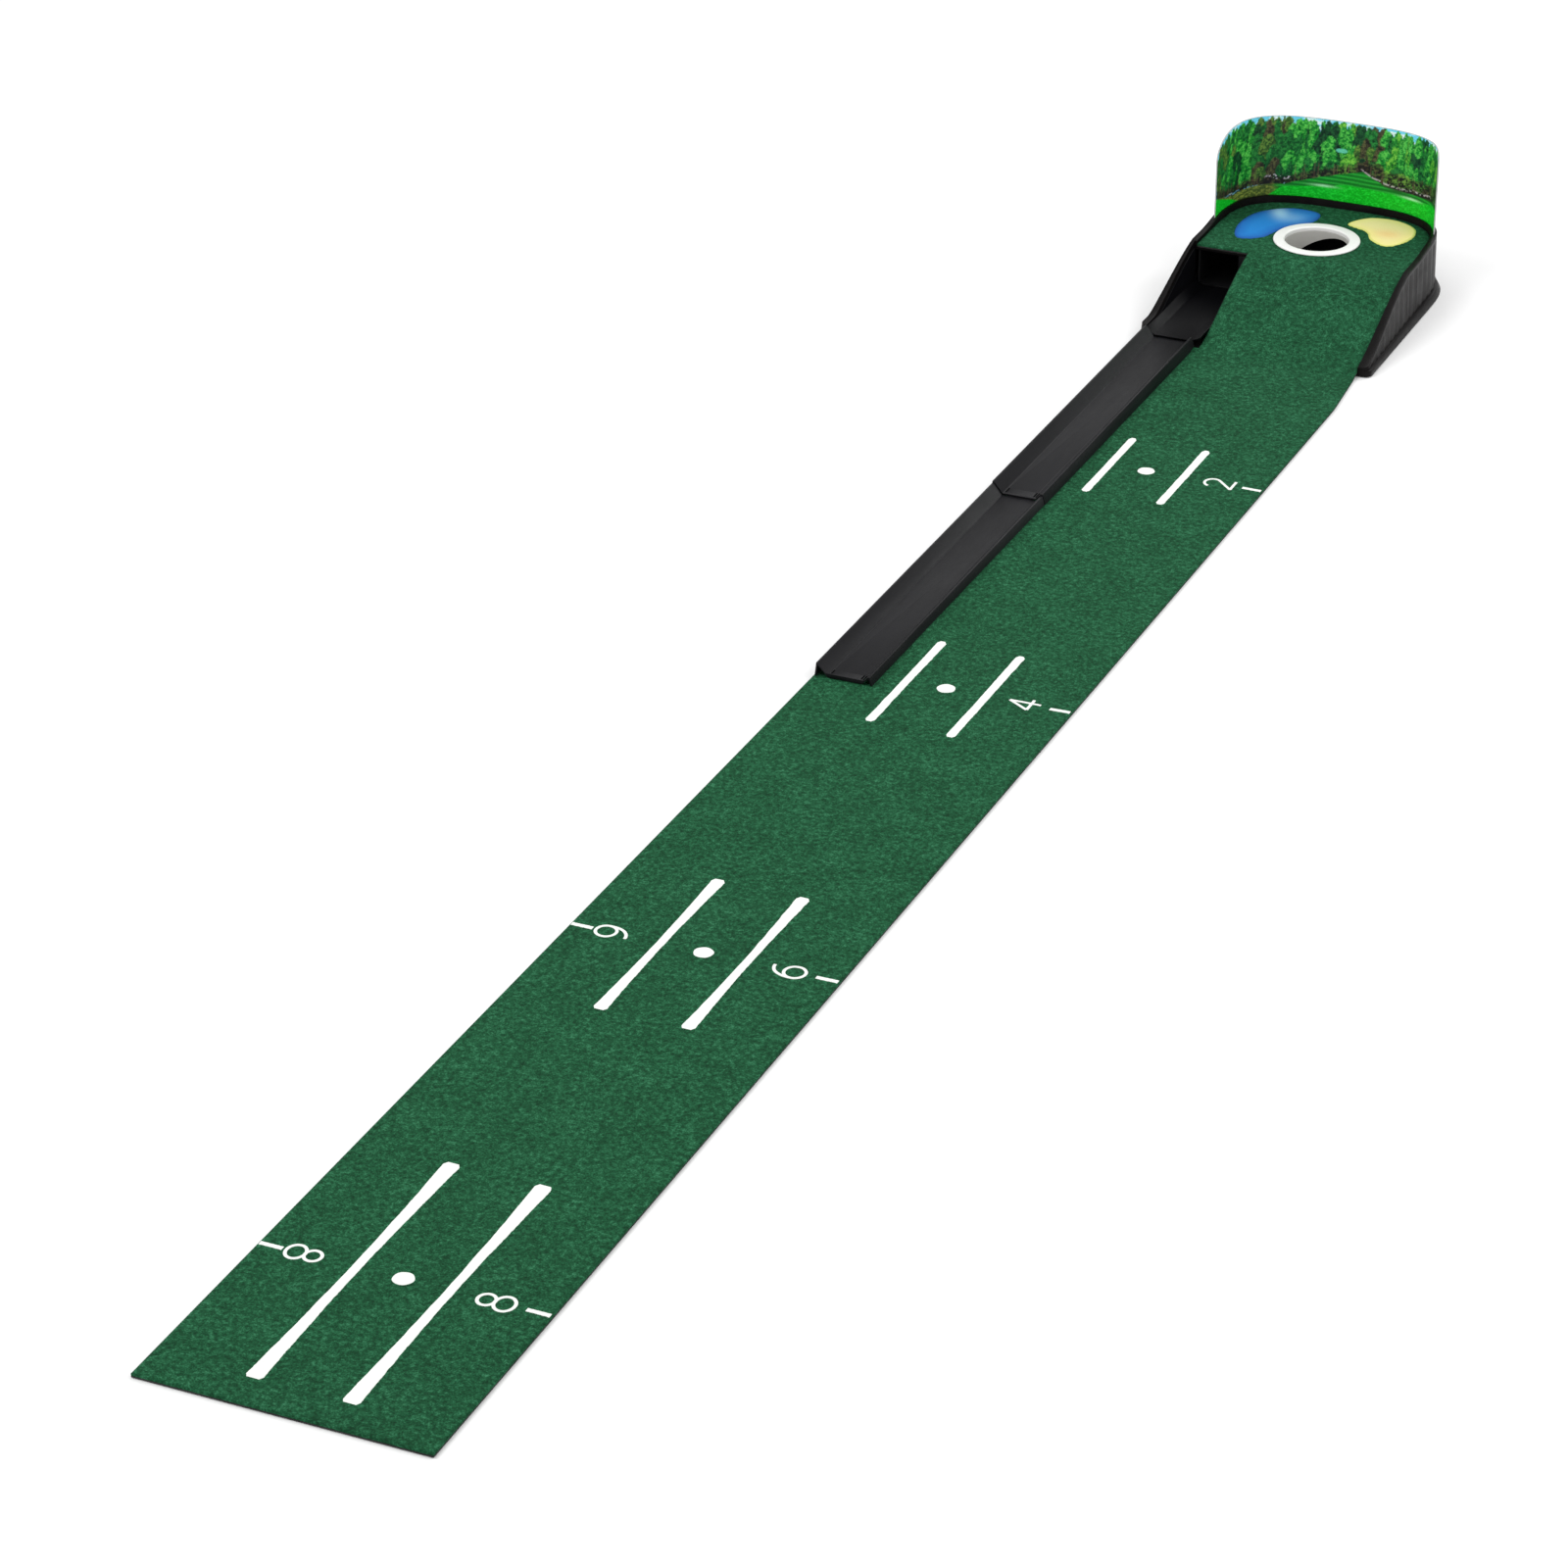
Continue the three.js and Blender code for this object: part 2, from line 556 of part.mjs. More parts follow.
function addTracks() {
  addPiece('upper_track', track(CHUTE_MOUTH - 0.5, TRACK_JOINT, UPPER_FLOOR), DARK_GREY);
  const stop = block(-125, -83, TRACK_END, TRACK_END + 2, LOWER_FLOOR[1] - 1, LOWER_FLOOR[1] + 2.5);
  const lower = track(TRACK_JOINT - 0.5, TRACK_END, LOWER_FLOOR).add(stop);
  addPiece('lower_track', lower, DARK_GREY);
}

// ---- the backboard: a thin bent panel with rounded upper corners, standing in the groove ----
function addBackboard() {
  const half = (front, wingTop, left, right) => {
    const profile = [[DECK_BACK + 20, 0], [DECK_BACK + 20, PANEL_TOP]];
    const steps = 10;
    for (let i = 0; i <= steps; i += 1) {
      const angle = Math.PI / 2 * i / steps;
      const y = PANEL_CORNER_FROM - (PANEL_CORNER_FROM - front) * Math.sin(angle);
      const z = wingTop + (PANEL_TOP - wingTop) * Math.cos(angle);
      profile.push([y, z]);
    }
    profile.push([front, 0]);
    return ringBetween(PANEL_IN, PANEL_OUT, front, PANEL_BOTTOM, PANEL_TOP + 5)
      .intersect(across(profile, left, right));
  };
  const panel = half(PANEL_FRONT_LEFT, PANEL_LEFT_TOP, -200, 5)
    .add(half(PANEL_FRONT_RIGHT, PANEL_RIGHT_TOP, -5, 200));
  addPiece('backboard_panel', panel, LEAF);
}

// ---- the cup: a flanged ring over a sleeve whose slanted lower edge lets the ball out ----
function addCup() {
  const plate = plateTop(0) + GAP;
  const lipTop = plate + BACKING_THICK;
  const collarOuter = CUP_RADIUS + 2.5;
  const ring = turned([
    [CUP_RADIUS, lipTop + GAP],
    [collarOuter, lipTop + GAP],
    [collarOuter, DECK_TOP + GAP],
    [CUP_FLANGE_RADIUS, DECK_TOP + GAP],
    [CUP_FLANGE_RADIUS, DECK_TOP + GAP + CUP_FLANGE_THICK / 2],
    [CUP_FLANGE_RADIUS - 1.5, DECK_TOP + GAP + CUP_FLANGE_THICK],
    [CUP_RADIUS + 1, DECK_TOP + GAP + CUP_FLANGE_THICK],
    [CUP_RADIUS, DECK_TOP + GAP + CUP_FLANGE_THICK / 2],
  ], 48);
  const wallOuter = CUP_RADIUS + CUP_WALL;
  const lowest = SLEEVE_CUT_MIDDLE - SLEEVE_CUT_SLOPE * wallOuter - 2;
  const tube = turned([
    [CUP_RADIUS, lowest],
    [wallOuter, lowest],
    [wallOuter, plate],
    [CUP_HOLE_IN_TURF - 0.5, plate],
    [CUP_HOLE_IN_TURF - 0.5, lipTop],
    [CUP_RADIUS, lipTop],
  ], 48);
  const upward = new THREE.Vector3(
    -SLEEVE_CUT_SLOPE * Math.sin(CUP_EXIT_BEARING),
    -SLEEVE_CUT_SLOPE * Math.cos(CUP_EXIT_BEARING),
    1,
  ).normalize();
  const lean = new THREE.Quaternion().setFromUnitVectors(new THREE.Vector3(0, 0, 1), upward);
  const cutter = new THREE.BoxGeometry(200, 200, 60)
    .translate(0, 0, -30)
    .applyQuaternion(lean)
    .translate(0, 0, SLEEVE_CUT_MIDDLE);
  addPiece('cup_ring', ring, WHITE);
  addPiece('cup_sleeve', tube.subtract(solid(cutter)), LIGHT_GREY);
}

addTurf();
addBase();
addTray();
addChute();
addTracks();
addBackboard();
addCup();
addFeetTapesAndScrews();

// The origin goes on the floor below the middle of the whole mat.
const extent = new THREE.Box3().setFromObject(mat);
mat.position.y = -(extent.min.y + extent.max.y) / 2;

export default mat;
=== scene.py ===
# Looks of the practice putting mat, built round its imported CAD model. Metres, +Y towards the cup,
# +X to the player's right, +Z up.
import math
import bpy
import numpy as np
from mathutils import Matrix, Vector, kdtree


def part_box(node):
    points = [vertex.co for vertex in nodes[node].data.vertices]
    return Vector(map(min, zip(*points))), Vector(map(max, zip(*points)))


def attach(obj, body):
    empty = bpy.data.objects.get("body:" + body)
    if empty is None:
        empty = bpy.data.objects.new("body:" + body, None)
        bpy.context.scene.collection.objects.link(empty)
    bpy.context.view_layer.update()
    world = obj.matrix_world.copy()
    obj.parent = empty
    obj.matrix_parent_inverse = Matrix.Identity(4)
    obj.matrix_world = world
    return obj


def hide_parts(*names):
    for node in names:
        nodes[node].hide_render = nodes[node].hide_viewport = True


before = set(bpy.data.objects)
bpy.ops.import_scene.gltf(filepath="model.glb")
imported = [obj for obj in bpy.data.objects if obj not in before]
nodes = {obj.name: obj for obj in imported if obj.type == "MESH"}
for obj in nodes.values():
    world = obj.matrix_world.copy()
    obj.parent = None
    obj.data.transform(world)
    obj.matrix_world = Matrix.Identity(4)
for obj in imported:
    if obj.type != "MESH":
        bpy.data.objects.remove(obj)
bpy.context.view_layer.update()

# ---- places that the CAD model gives ----
ring_low, ring_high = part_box("cup_ring")
CUP_Y = (ring_low.y + ring_high.y) / 2  # the cup's axis is at x = 0
pile_low, pile_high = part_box("turf_pile")
MAT_FRONT = pile_low.y - CUP_Y  # lengths below are measured from the cup's axis
MAT_HALF = pile_high.x
DECK_TOP = pile_high.z

# ---- sizes that the CAD model was built with ----
TURF_THICK = 0.0045
BACKING = 0.0018
DECK_UNDER = DECK_TOP - TURF_THICK
HEAD_HALF = 0.133
DECK_BACK = 0.118
DECK_ROUND = 3.2
RAMP_FOOT = -0.256
RAMP_HEAD = -0.064
NARROW_FROM = -0.345
NARROW_TO = -0.248
NOTCH_RIGHT = -0.0655
NOTCH_FRONT = -0.244
NOTCH_REAR = -0.068
CUP_HOLE = 0.048
CUP_RADIUS = 0.040
FOOT = 0.3048
PANEL_IN = 0.0034
PANEL_OUT = 0.0050
PANEL_FRONT_LEFT = 0.008
PANEL_FRONT_RIGHT = 0.060
PANEL_LEFT_DROP = 0.032
PANEL_RIGHT_DROP = 0.024
PANEL_CORNER_FROM = 0.097
PANEL_RIM = 0.0085  # the deck's rim stands this far above the panel's lower edge

# outlines of the two hazards, in millimetres from the cup's axis
WATER = [(-108, 14), (-94, -28), (-68, -18), (-52, 22), (-24, 60), (-26, 90), (-62, 95), (-98, 66)]
TRAP = [(18, 70), (46, 55), (62, 28), (86, 17), (105, 48), (101, 86), (72, 106), (36, 101)]

# ---- sizes of the printed marks ----
GUIDE_SIDE = 0.045  # each guide line's distance from the middle
TICK_INNER = 0.1165  # where an edge tick ends, from the middle
TICK_WIDTH = 0.0054
DOT_RADIUS = 0.0100
DIGIT_STROKE = 0.0034
PRINT_DEPTH = 0.0008

# ---- sizes of the turf's surface ----
KNIT = 0.00285  # spacing of the turf's points
INLAY_SINK = 0.0012  # how far the pile is pressed down under an inlay
EDGE_FADE = 0.022  # an inlay's stored distance from its edge is 1 this far in


# ---- small helpers ----
def smooth(t):
    t = np.clip(t, 0.0, 1.0)
    return t * t * (3 - 2 * t)


def lattice(ix, iy, seed):
    """A number from 0 to 1 for each pair of whole numbers, the same each run: they are hashed with
    large primes."""
    h = (ix * 374761393 + iy * 668265263 + seed * 974711) & 0xFFFFFFFF
    h = ((h ^ (h >> 13)) * 1274126177) & 0xFFFFFFFF
    return ((h ^ (h >> 16)) & 0xFFFF) / 65535.0


def value_noise(x, y, seed):
    """Smooth noise from 0 to 1 with features about one unit across."""
    ix, iy = np.floor(x).astype(np.int64), np.floor(y).astype(np.int64)
    fx, fy = smooth(x - ix), smooth(y - iy)
    low = lattice(ix, iy, seed) * (1 - fx) + lattice(ix + 1, iy, seed) * fx
    high = lattice(ix, iy + 1, seed) * (1 - fx) + lattice(ix + 1, iy + 1, seed) * fx
    return low * (1 - fy) + high * fy


def cloudy(x, y, seed, layers=3):
    """Noise from 0 to 1 in a few layers, each half the size of the one before."""
    level, weight = 0.0, 0.0
    for i in range(layers):
        share = 0.55**i
        level = level + share * value_noise(x * 2**i, y * 2**i, seed + 17 * i)
        weight += share
    return level / weight


def turf_under(y):
    """Height of the carpet's underside: flat, a ramp with soft ends, then the deck."""
    t = np.clip((y - RAMP_FOOT) / (RAMP_HEAD - RAMP_FOOT), 0.0, 1.0)
    return DECK_UNDER * (smooth(t) + t) / 2


def turf_top(y):
    return turf_under(y) + TURF_THICK


def pile_relief(x, y):
    """Height of the pile's tufts and soft waves about its mean."""
    tufts = 0.0004 * (cloudy(x * 90, y * 90, 3, 2) - 0.5)
    waves = 0.0006 * (cloudy(x * 11, y * 9, 5) - 0.5)
    return tufts + waves


def deck_curve(count, outward=0.0):
    """Points round the deck's back from the right side to the left, some way outside the carpet."""
    angle = np.linspace(0, math.pi, count)
    cos, sin = np.cos(angle), np.sin(angle)
    return np.stack([
        np.sign(cos) * np.abs(cos) ** (2 / DECK_ROUND) * (HEAD_HALF + outward),
        np.abs(sin) ** (2 / DECK_ROUND) * (DECK_BACK + outward),
    ], -1)


def piece(name, verts, faces, material, body="base", soft=True):
    """A mesh object from points measured from the cup's axis, riding on a CAD body."""
    places = np.asarray(verts, float).reshape(-1, 3).copy()
    places[:, 1] += CUP_Y
    mesh = bpy.data.meshes.new(name)
    mesh.from_pydata(places.tolist(), [], faces if isinstance(faces, list) else faces.tolist())
    mesh.validate()
    mesh.materials.append(material)
    mesh.polygons.foreach_set("use_smooth", [soft] * len(mesh.polygons))
    made = bpy.data.objects.new(name, mesh)
    bpy.context.scene.collection.objects.link(made)
    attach(made, body)
    return made


def crease(made, degrees):
    """Edges sharper than this stay crisp, and the rest shade smoothly."""
    made.data.set_sharp_from_angle(angle=math.radians(degrees))


def grid_faces(rows, columns, start=0, closed=False):
    """Quads between points laid out in rows. A closed grid's rows are rings."""
    across = columns if closed else columns - 1
    r, c = np.meshgrid(np.arange(rows - 1), np.arange(across), indexing="ij")
    a = start + r * columns + c
    b = start + r * columns + (c + 1) % columns
    return np.stack([a, b, b + columns, a + columns], -1).reshape(-1, 4)


# ---- materials ----
def new_material(name):
    material = bpy.data.materials.new(name)
    material.use_nodes = True
    return material, material.node_tree, material.node_tree.nodes["Principled BSDF"]


def noise(tree, scale, detail=2.0, rough=0.5, stretch=None):
    """A noise factor in the object's own metres, with its scale in features per metre."""
    place = tree.nodes.new("ShaderNodeTexCoord").outputs["Object"]
    if stretch:
        mapping = tree.nodes.new("ShaderNodeMapping")
        mapping.inputs["Scale"].default_value = stretch
        tree.links.new(place, mapping.inputs["Vector"])
        place = mapping.outputs["Vector"]
    made = tree.nodes.new("ShaderNodeTexNoise")
    made.inputs["Scale"].default_value = scale
    made.inputs["Detail"].default_value = detail
    made.inputs["Roughness"].default_value = rough
    tree.links.new(place, made.inputs["Vector"])
    return made.outputs["Fac"]


def ramp(tree, factor, stops):
    """Colours laid along a factor, as (place, colour) stops."""
    made = tree.nodes.new("ShaderNodeValToRGB")
    line = made.color_ramp
    while len(line.elements) < len(stops):
        line.elements.new(0.5)
    for element, (place, colour) in zip(line.elements, stops):
        element.position = place
        element.color = (*colour, 1.0)
    tree.links.new(factor, made.inputs["Fac"])
    return made.outputs["Color"]


def mixed(tree, factor, first, second):
    """The first colour blended into the second. Either may be a plain colour or another node's."""
    made = tree.nodes.new("ShaderNodeMix")
    made.data_type = "RGBA"
    tree.links.new(factor, made.inputs[0])
    for socket, value in ((made.inputs[6], first), (made.inputs[7], second)):
        if isinstance(value, tuple):
            socket.default_value = (*value, 1.0)
        else:
            tree.links.new(value, socket)
    return made.outputs[2]


def spread_of(tree, factor, low, high):
    """A factor's middle stretch spread over low to high."""
    made = tree.nodes.new("ShaderNodeMapRange")
    made.inputs["From Min"].default_value = 0.3
    made.inputs["From Max"].default_value = 0.7
    made.inputs["To Min"].default_value = low
    made.inputs["To Max"].default_value = high
    tree.links.new(factor, made.inputs["Value"])
    return made.outputs["Result"]


def weighted(tree, pairs):
    """The sum of a few factors, each times its weight."""
    result = None
    for factor, weight in pairs:
        scaled = tree.nodes.new("ShaderNodeMath")
        scaled.operation = "MULTIPLY"
        scaled.inputs[1].default_value = weight
        tree.links.new(factor, scaled.inputs[0])
        if result is None:
            result = scaled.outputs[0]
        else:
            added = tree.nodes.new("ShaderNodeMath")
            tree.links.new(result, added.inputs[0])
            tree.links.new(scaled.outputs[0], added.inputs[1])
            result = added.outputs[0]
    return result


def bump(tree, shader, height, distance, strength=1.0):
    """Fine relief in the shading, as deep as the distance."""
    made = tree.nodes.new("ShaderNodeBump")
    made.inputs["Distance"].default_value = distance
    made.inputs["Strength"].default_value = strength
    tree.links.new(height, made.inputs["Height"])
    tree.links.new(made.outputs["Normal"], shader.inputs["Normal"])


def turf_material():
    """Short needled pile: fibre-sized flecks over tufts and broad mottling."""
    material, tree, shader = new_material("turf_green")
    fibres = noise(tree, 620, 3.0, 0.65)
    tufts = noise(tree, 190, 3.0, 0.6)
    broad = noise(tree, 22, 3.0, 0.6)
    factor = weighted(tree, [(fibres, 0.48), (tufts, 0.42), (broad, 0.1)])
    colour = ramp(tree, factor, [
        (0.38, (0.006, 0.038, 0.016)),
        (0.48, (0.010, 0.070, 0.029)),
        (0.54, (0.016, 0.106, 0.045)),
        (0.64, (0.044, 0.200, 0.100)),
    ])
    tree.links.new(colour, shader.inputs["Base Color"])
    shader.inputs["Roughness"].default_value = 0.92
    shader.inputs["Specular IOR Level"].default_value = 0.08
    bump(tree, shader, weighted(tree, [(fibres, 0.7), (tufts, 0.6)]), 0.0011)
    return material


def print_material(name, colour, other):
    """White ink on the pile's tips, a little uneven."""
    material, tree, shader = new_material(name)
    fibres = noise(tree, 700, 3.0, 0.6)
    blotch = noise(tree, 60, 2.0)
    speckled = mixed(tree, spread_of(tree, fibres, 0.0, 1.0), colour, other)
    tree.links.new(speckled, shader.inputs["Base Color"])
    shader.inputs["Roughness"].default_value = 0.75
    bump(tree, shader, weighted(tree, [(fibres, 0.8), (blotch, 0.3)]), 0.0005)
    return material


def plastic_material(name, dark, light, rough_low, rough_high, gloss, grain=900, depth=0.00012):
    """Moulded plastic: a fine cast texture, faint flow marks and uneven gloss."""
    material, tree, shader = new_material(name)
    flow = noise(tree, 14, 4.0, 0.6, (1.0, 0.35, 2.5))
    cast = noise(tree, grain, 2.0, 0.5)
    rub = noise(tree, 60, 5.0, 0.7, (1.0, 0.2, 1.0))
    colour = mixed(tree, spread_of(tree, flow, 0.0, 1.0), dark, light)
    tree.links.new(colour, shader.inputs["Base Color"])
    uneven = weighted(tree, [(rub, 0.7), (flow, 0.3)])
    tree.links.new(spread_of(tree, uneven, rough_low, rough_high), shader.inputs["Roughness"])
    shader.inputs["Specular IOR Level"].default_value = gloss
    bump(tree, shader, weighted(tree, [(cast, 1.0), (rub, 0.35)]), depth)
    return material


def rubber_material(name, tone):
    """Foamed rubber with small open pores."""
    material, tree, shader = new_material(name)
    place = tree.nodes.new("ShaderNodeTexCoord").outputs["Object"]
    pores = tree.nodes.new("ShaderNodeTexVoronoi")
    pores.inputs["Scale"].default_value = 420
    tree.links.new(place, pores.inputs["Vector"])
    mottle = noise(tree, 80, 3.0)
    colour = mixed(tree, spread_of(tree, mottle, 0.0, 1.0), (tone, tone, tone), (tone * 1.7,) * 3)
    tree.links.new(colour, shader.inputs["Base Color"])
    shader.inputs["Roughness"].default_value = 0.9
    bump(tree, shader, pores.outputs["Distance"], 0.0006, 0.8)
    return material


def steel_material():
    """Brushed steel."""
    material, tree, shader = new_material("screw_steel")
    brushed = noise(tree, 500, 3.0, 0.6, (1.0, 1.0, 0.2))
    colour = ramp(tree, brushed, [(0.3, (0.42, 0.42, 0.40)), (0.7, (0.66, 0.66, 0.64))])
    tree.links.new(colour, shader.inputs["Base Color"])
    tree.links.new(spread_of(tree, brushed, 0.28, 0.5), shader.inputs["Roughness"])
    shader.inputs["Metallic"].default_value = 1.0
    bump(tree, shader, brushed, 0.0001)
    return material


def hazard_material(name, stops, streak, streak_amount):
    """Colour by the stored distance from the edge, darker at the edge as painted shade round the
    inlay's sunken rim, with a lighter streak stored beside it, which is a painted highlight on the
    water and the sand's own warm tint.
    """
    material, tree, shader = new_material(name)
    from_edge = tree.nodes.new("ShaderNodeAttribute")
    from_edge.attribute_name = "from_edge"
    # the second stored share: a painted highlight on the water, the sand's own warm tint on the
    # sand
    tint_and_painted_sheen = tree.nodes.new("ShaderNodeAttribute")
    tint_and_painted_sheen.attribute_name = "tint_and_painted_sheen"
    fibres = noise(tree, 620, 3.0, 0.6)
    soft = noise(tree, 70, 4.0, 0.6)
    wavy = weighted(tree, [(from_edge.outputs["Fac"], 1.0), (soft, 0.16), (fibres, 0.08)])
    base = ramp(tree, wavy, stops)
    lift = weighted(tree, [(tint_and_painted_sheen.outputs["Fac"], streak_amount), (fibres, 0.06)])
    tree.links.new(mixed(tree, lift, base, streak), shader.inputs["Base Color"])
    shader.inputs["Roughness"].default_value = 0.7
    shader.inputs["Specular IOR Level"].default_value = 0.15
    bump(tree, shader, weighted(tree, [(fibres, 0.8), (soft, 0.5)]), 0.0005)
    return material


def picture_material():
    """The printed landscape: colours painted on the mesh, broken up by the print's grain."""
    material, tree, shader = new_material("printed_landscape")
    painted = tree.nodes.new("ShaderNodeVertexColor")
    painted.layer_name = "picture"
    leaves = noise(tree, 900, 3.0, 0.7)
    shade = spread_of(tree, leaves, 0.72, 1.28)
    scaled = tree.nodes.new("ShaderNodeVectorMath")
    scaled.operation = "SCALE"
    tree.links.new(painted.outputs["Color"], scaled.inputs[0])
    tree.links.new(shade, scaled.inputs["Scale"])
    tree.links.new(scaled.outputs[0], shader.inputs["Base Color"])
    shader.inputs["Roughness"].default_value = 0.4
    shader.inputs["Specular IOR Level"].default_value = 0.2
    bump(tree, shader, noise(tree, 40, 3.0), 0.0002)
    return material


TURF = turf_material()
WHITE_PRINT = print_material("mark_white", (0.80, 0.84, 0.79), (0.93, 0.95, 0.91))
RUBBER = rubber_material("backing_rubber", 0.018)
PAD = rubber_material("foot_rubber", 0.012)
STEEL = steel_material()
PICTURE = picture_material()

# plastics: two colours, the range of roughness, the gloss, and where given the grain and its depth
BLACK = plastic_material(
    "moulded_black", (0.0030, 0.0026, 0.0026), (0.008, 0.007, 0.007), 0.30, 0.46, 0.07)
CHUTE = plastic_material(
    "chute_black", (0.0015, 0.0015, 0.002), (0.003, 0.003, 0.004), 0.34, 0.52, 0.07)
TRACK = plastic_material(
    "track_grey", (0.006, 0.006, 0.007), (0.012, 0.012, 0.014), 0.34, 0.5, 0.12)
INNER = plastic_material(
    "inner_black", (0.004, 0.004, 0.005), (0.008, 0.008, 0.009), 0.4, 0.55, 0.25)
WHITE = plastic_material(
    "ring_white", (0.88, 0.87, 0.85), (0.95, 0.94, 0.93), 0.28, 0.42, 0.5, 700, 0.00006)
# the liner is the ring's white plastic made grey: painted shade inside the cup
SLEEVE_SHADED_WHITE = plastic_material(
    "sleeve_grey", (0.50, 0.49, 0.46), (0.62, 0.61, 0.58), 0.25, 0.4, 0.5, 700, 0.00006)
TAPE = plastic_material(
    "tape_white", (0.60, 0.58, 0.50), (0.70, 0.68, 0.60), 0.5, 0.65, 0.4, 1200, 0.0001)
PANEL_BACK = plastic_material(
    "printed_panel", (0.45, 0.46, 0.45), (0.55, 0.56, 0.55), 0.4, 0.5, 0.4, 1100, 0.00008)


# ---- the turf: one carpet laid over the floor, the ramp and the deck ----
def half_width(y):
    """Half the carpet's width at a distance from the cup."""
    y = np.asarray(y, float)
    gone = np.clip((y - NARROW_FROM) / (NARROW_TO - NARROW_FROM), 0, 1)
    narrowing = MAT_HALF + (HEAD_HALF - MAT_HALF) * gone
    behind = np.clip(y / DECK_BACK, 0.0, 1.0)
    rounded = HEAD_HALF * (1 - behind**DECK_ROUND) ** (1 / DECK_ROUND)
    return np.where(y > 0, rounded, narrowing)


def turf_edges():
    """Points close together along every edge of the carpet, and its sharp corners."""
    step = 0.0004
    sides = np.arange(MAT_FRONT, 0, step)
    right = np.stack([half_width(sides), sides], -1)
    left = np.stack([-half_width(sides), sides], -1)
    left = left[(sides < NOTCH_FRONT) | (sides > NOTCH_REAR)]
    back = deck_curve(1400)
    across = np.arange(-MAT_HALF, MAT_HALF, step)
    front = np.stack([across, np.full_like(across, MAT_FRONT)], -1)
    notch_x = np.arange(-HEAD_HALF, NOTCH_RIGHT, step)
    notch_front = np.stack([notch_x, np.full_like(notch_x, NOTCH_FRONT)], -1)
    notch_rear = np.stack([notch_x, np.full_like(notch_x, NOTCH_REAR)], -1)
    notch_y = np.arange(NOTCH_FRONT, NOTCH_REAR, step)
    notch_side = np.stack([np.full_like(notch_y, NOTCH_RIGHT), notch_y], -1)
    turn = np.linspace(0, 2 * math.pi, 900)
    hole = np.stack([np.cos(turn) * CUP_HOLE, np.sin(turn) * CUP_HOLE], -1)
    edges = np.concatenate([right, left, back, front, notch_front, notch_rear, notch_side, hole])
    corners = [
        (-MAT_HALF, MAT_FRONT), (MAT_HALF, MAT_FRONT),
        (NOTCH_RIGHT, NOTCH_FRONT), (NOTCH_RIGHT, NOTCH_REAR),
        (-float(half_width(NOTCH_FRONT)), NOTCH_FRONT), (-HEAD_HALF, NOTCH_REAR),
    ]
    return edges, corners


def tree_of(points):
    """A search tree that finds the nearest of some points."""
    tree = kdtree.KDTree(len(points))
    for i, (x, y) in enumerate(points):
        tree.insert((x, y, 0), i)
    tree.balance()
    return tree


def build_turf(sunken):
    """A closely knit surface with tufted relief and turned-down edges. sunken(x, y) lowers what
    lies under the inlays."""
    columns = round(2 * MAT_HALF / KNIT)
    rows = round((DECK_BACK - MAT_FRONT) / KNIT)
    xs = np.linspace(-MAT_HALF, MAT_HALF, columns + 1)
    ys = np.linspace(MAT_FRONT, DECK_BACK, rows + 1)
    grid_x, grid_y = np.meshgrid(xs, ys)
    mid_x = (grid_x[:-1, :-1] + grid_x[1:, 1:]) / 2
    mid_y = (grid_y[:-1, :-1] + grid_y[1:, 1:]) / 2
    keep = np.abs(mid_x) < half_width(mid_y)
    keep &= ~((mid_x < NOTCH_RIGHT) & (mid_y > NOTCH_FRONT) & (mid_y < NOTCH_REAR))
    keep &= np.hypot(mid_x, mid_y) > CUP_HOLE
    faces = grid_faces(rows + 1, columns + 1)[keep.ravel()]
    used, faces = np.unique(faces, return_inverse=True)
    faces = faces.reshape(-1, 4)
    x, y = grid_x.ravel()[used], grid_y.ravel()[used]

    # points on the rim move onto the carpet's edges, and the nearest ones onto its corners
    sides = np.concatenate([faces[:, [k, (k + 1) % 4]] for k in range(4)])
    keys = np.sort(sides, 1) @ np.array([len(x), 1])
    _, first, count = np.unique(keys, return_index=True, return_counts=True)
    rim = sides[first[count == 1]]
    on_rim = np.unique(rim)
    edges, corners = turf_edges()
    tree = tree_of(edges)
    for i in on_rim:
        _, nearest, _ = tree.find((x[i], y[i], 0))
        x[i], y[i] = edges[nearest]
    for cx, cy in corners:
        i = on_rim[np.argmin(np.hypot(x[on_rim] - cx, y[on_rim] - cy))]
        x[i], y[i] = cx, cy

    # the surface's height, and walls that turn down to the backing
    rng = np.random.default_rng(7)
    fibres = 0.00007 * rng.standard_normal(len(x)).clip(-1.5, 1.5)
    z = turf_top(y) - 0.0003 + pile_relief(x, y) + fibres - sunken(x, y)
    z[on_rim] = turf_top(y[on_rim]) - 0.0008
    low = np.stack([x[on_rim], y[on_rim], turf_under(y[on_rim]) + BACKING], -1)
    place = np.full(len(x), -1)
    place[on_rim] = len(x) + np.arange(len(on_rim))
    walls = np.stack([rim[:, 1], rim[:, 0], place[rim[:, 0]], place[rim[:, 1]]], -1)
    verts = np.concatenate([np.stack([x, y, z], -1), low])
    turf = piece("putting_turf", verts, np.concatenate([faces, walls]), TURF)
    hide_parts("turf_pile")
    cell = (xs[1] - xs[0]) * (ys[1] - ys[0])
    return turf, float(keep.sum() * cell)
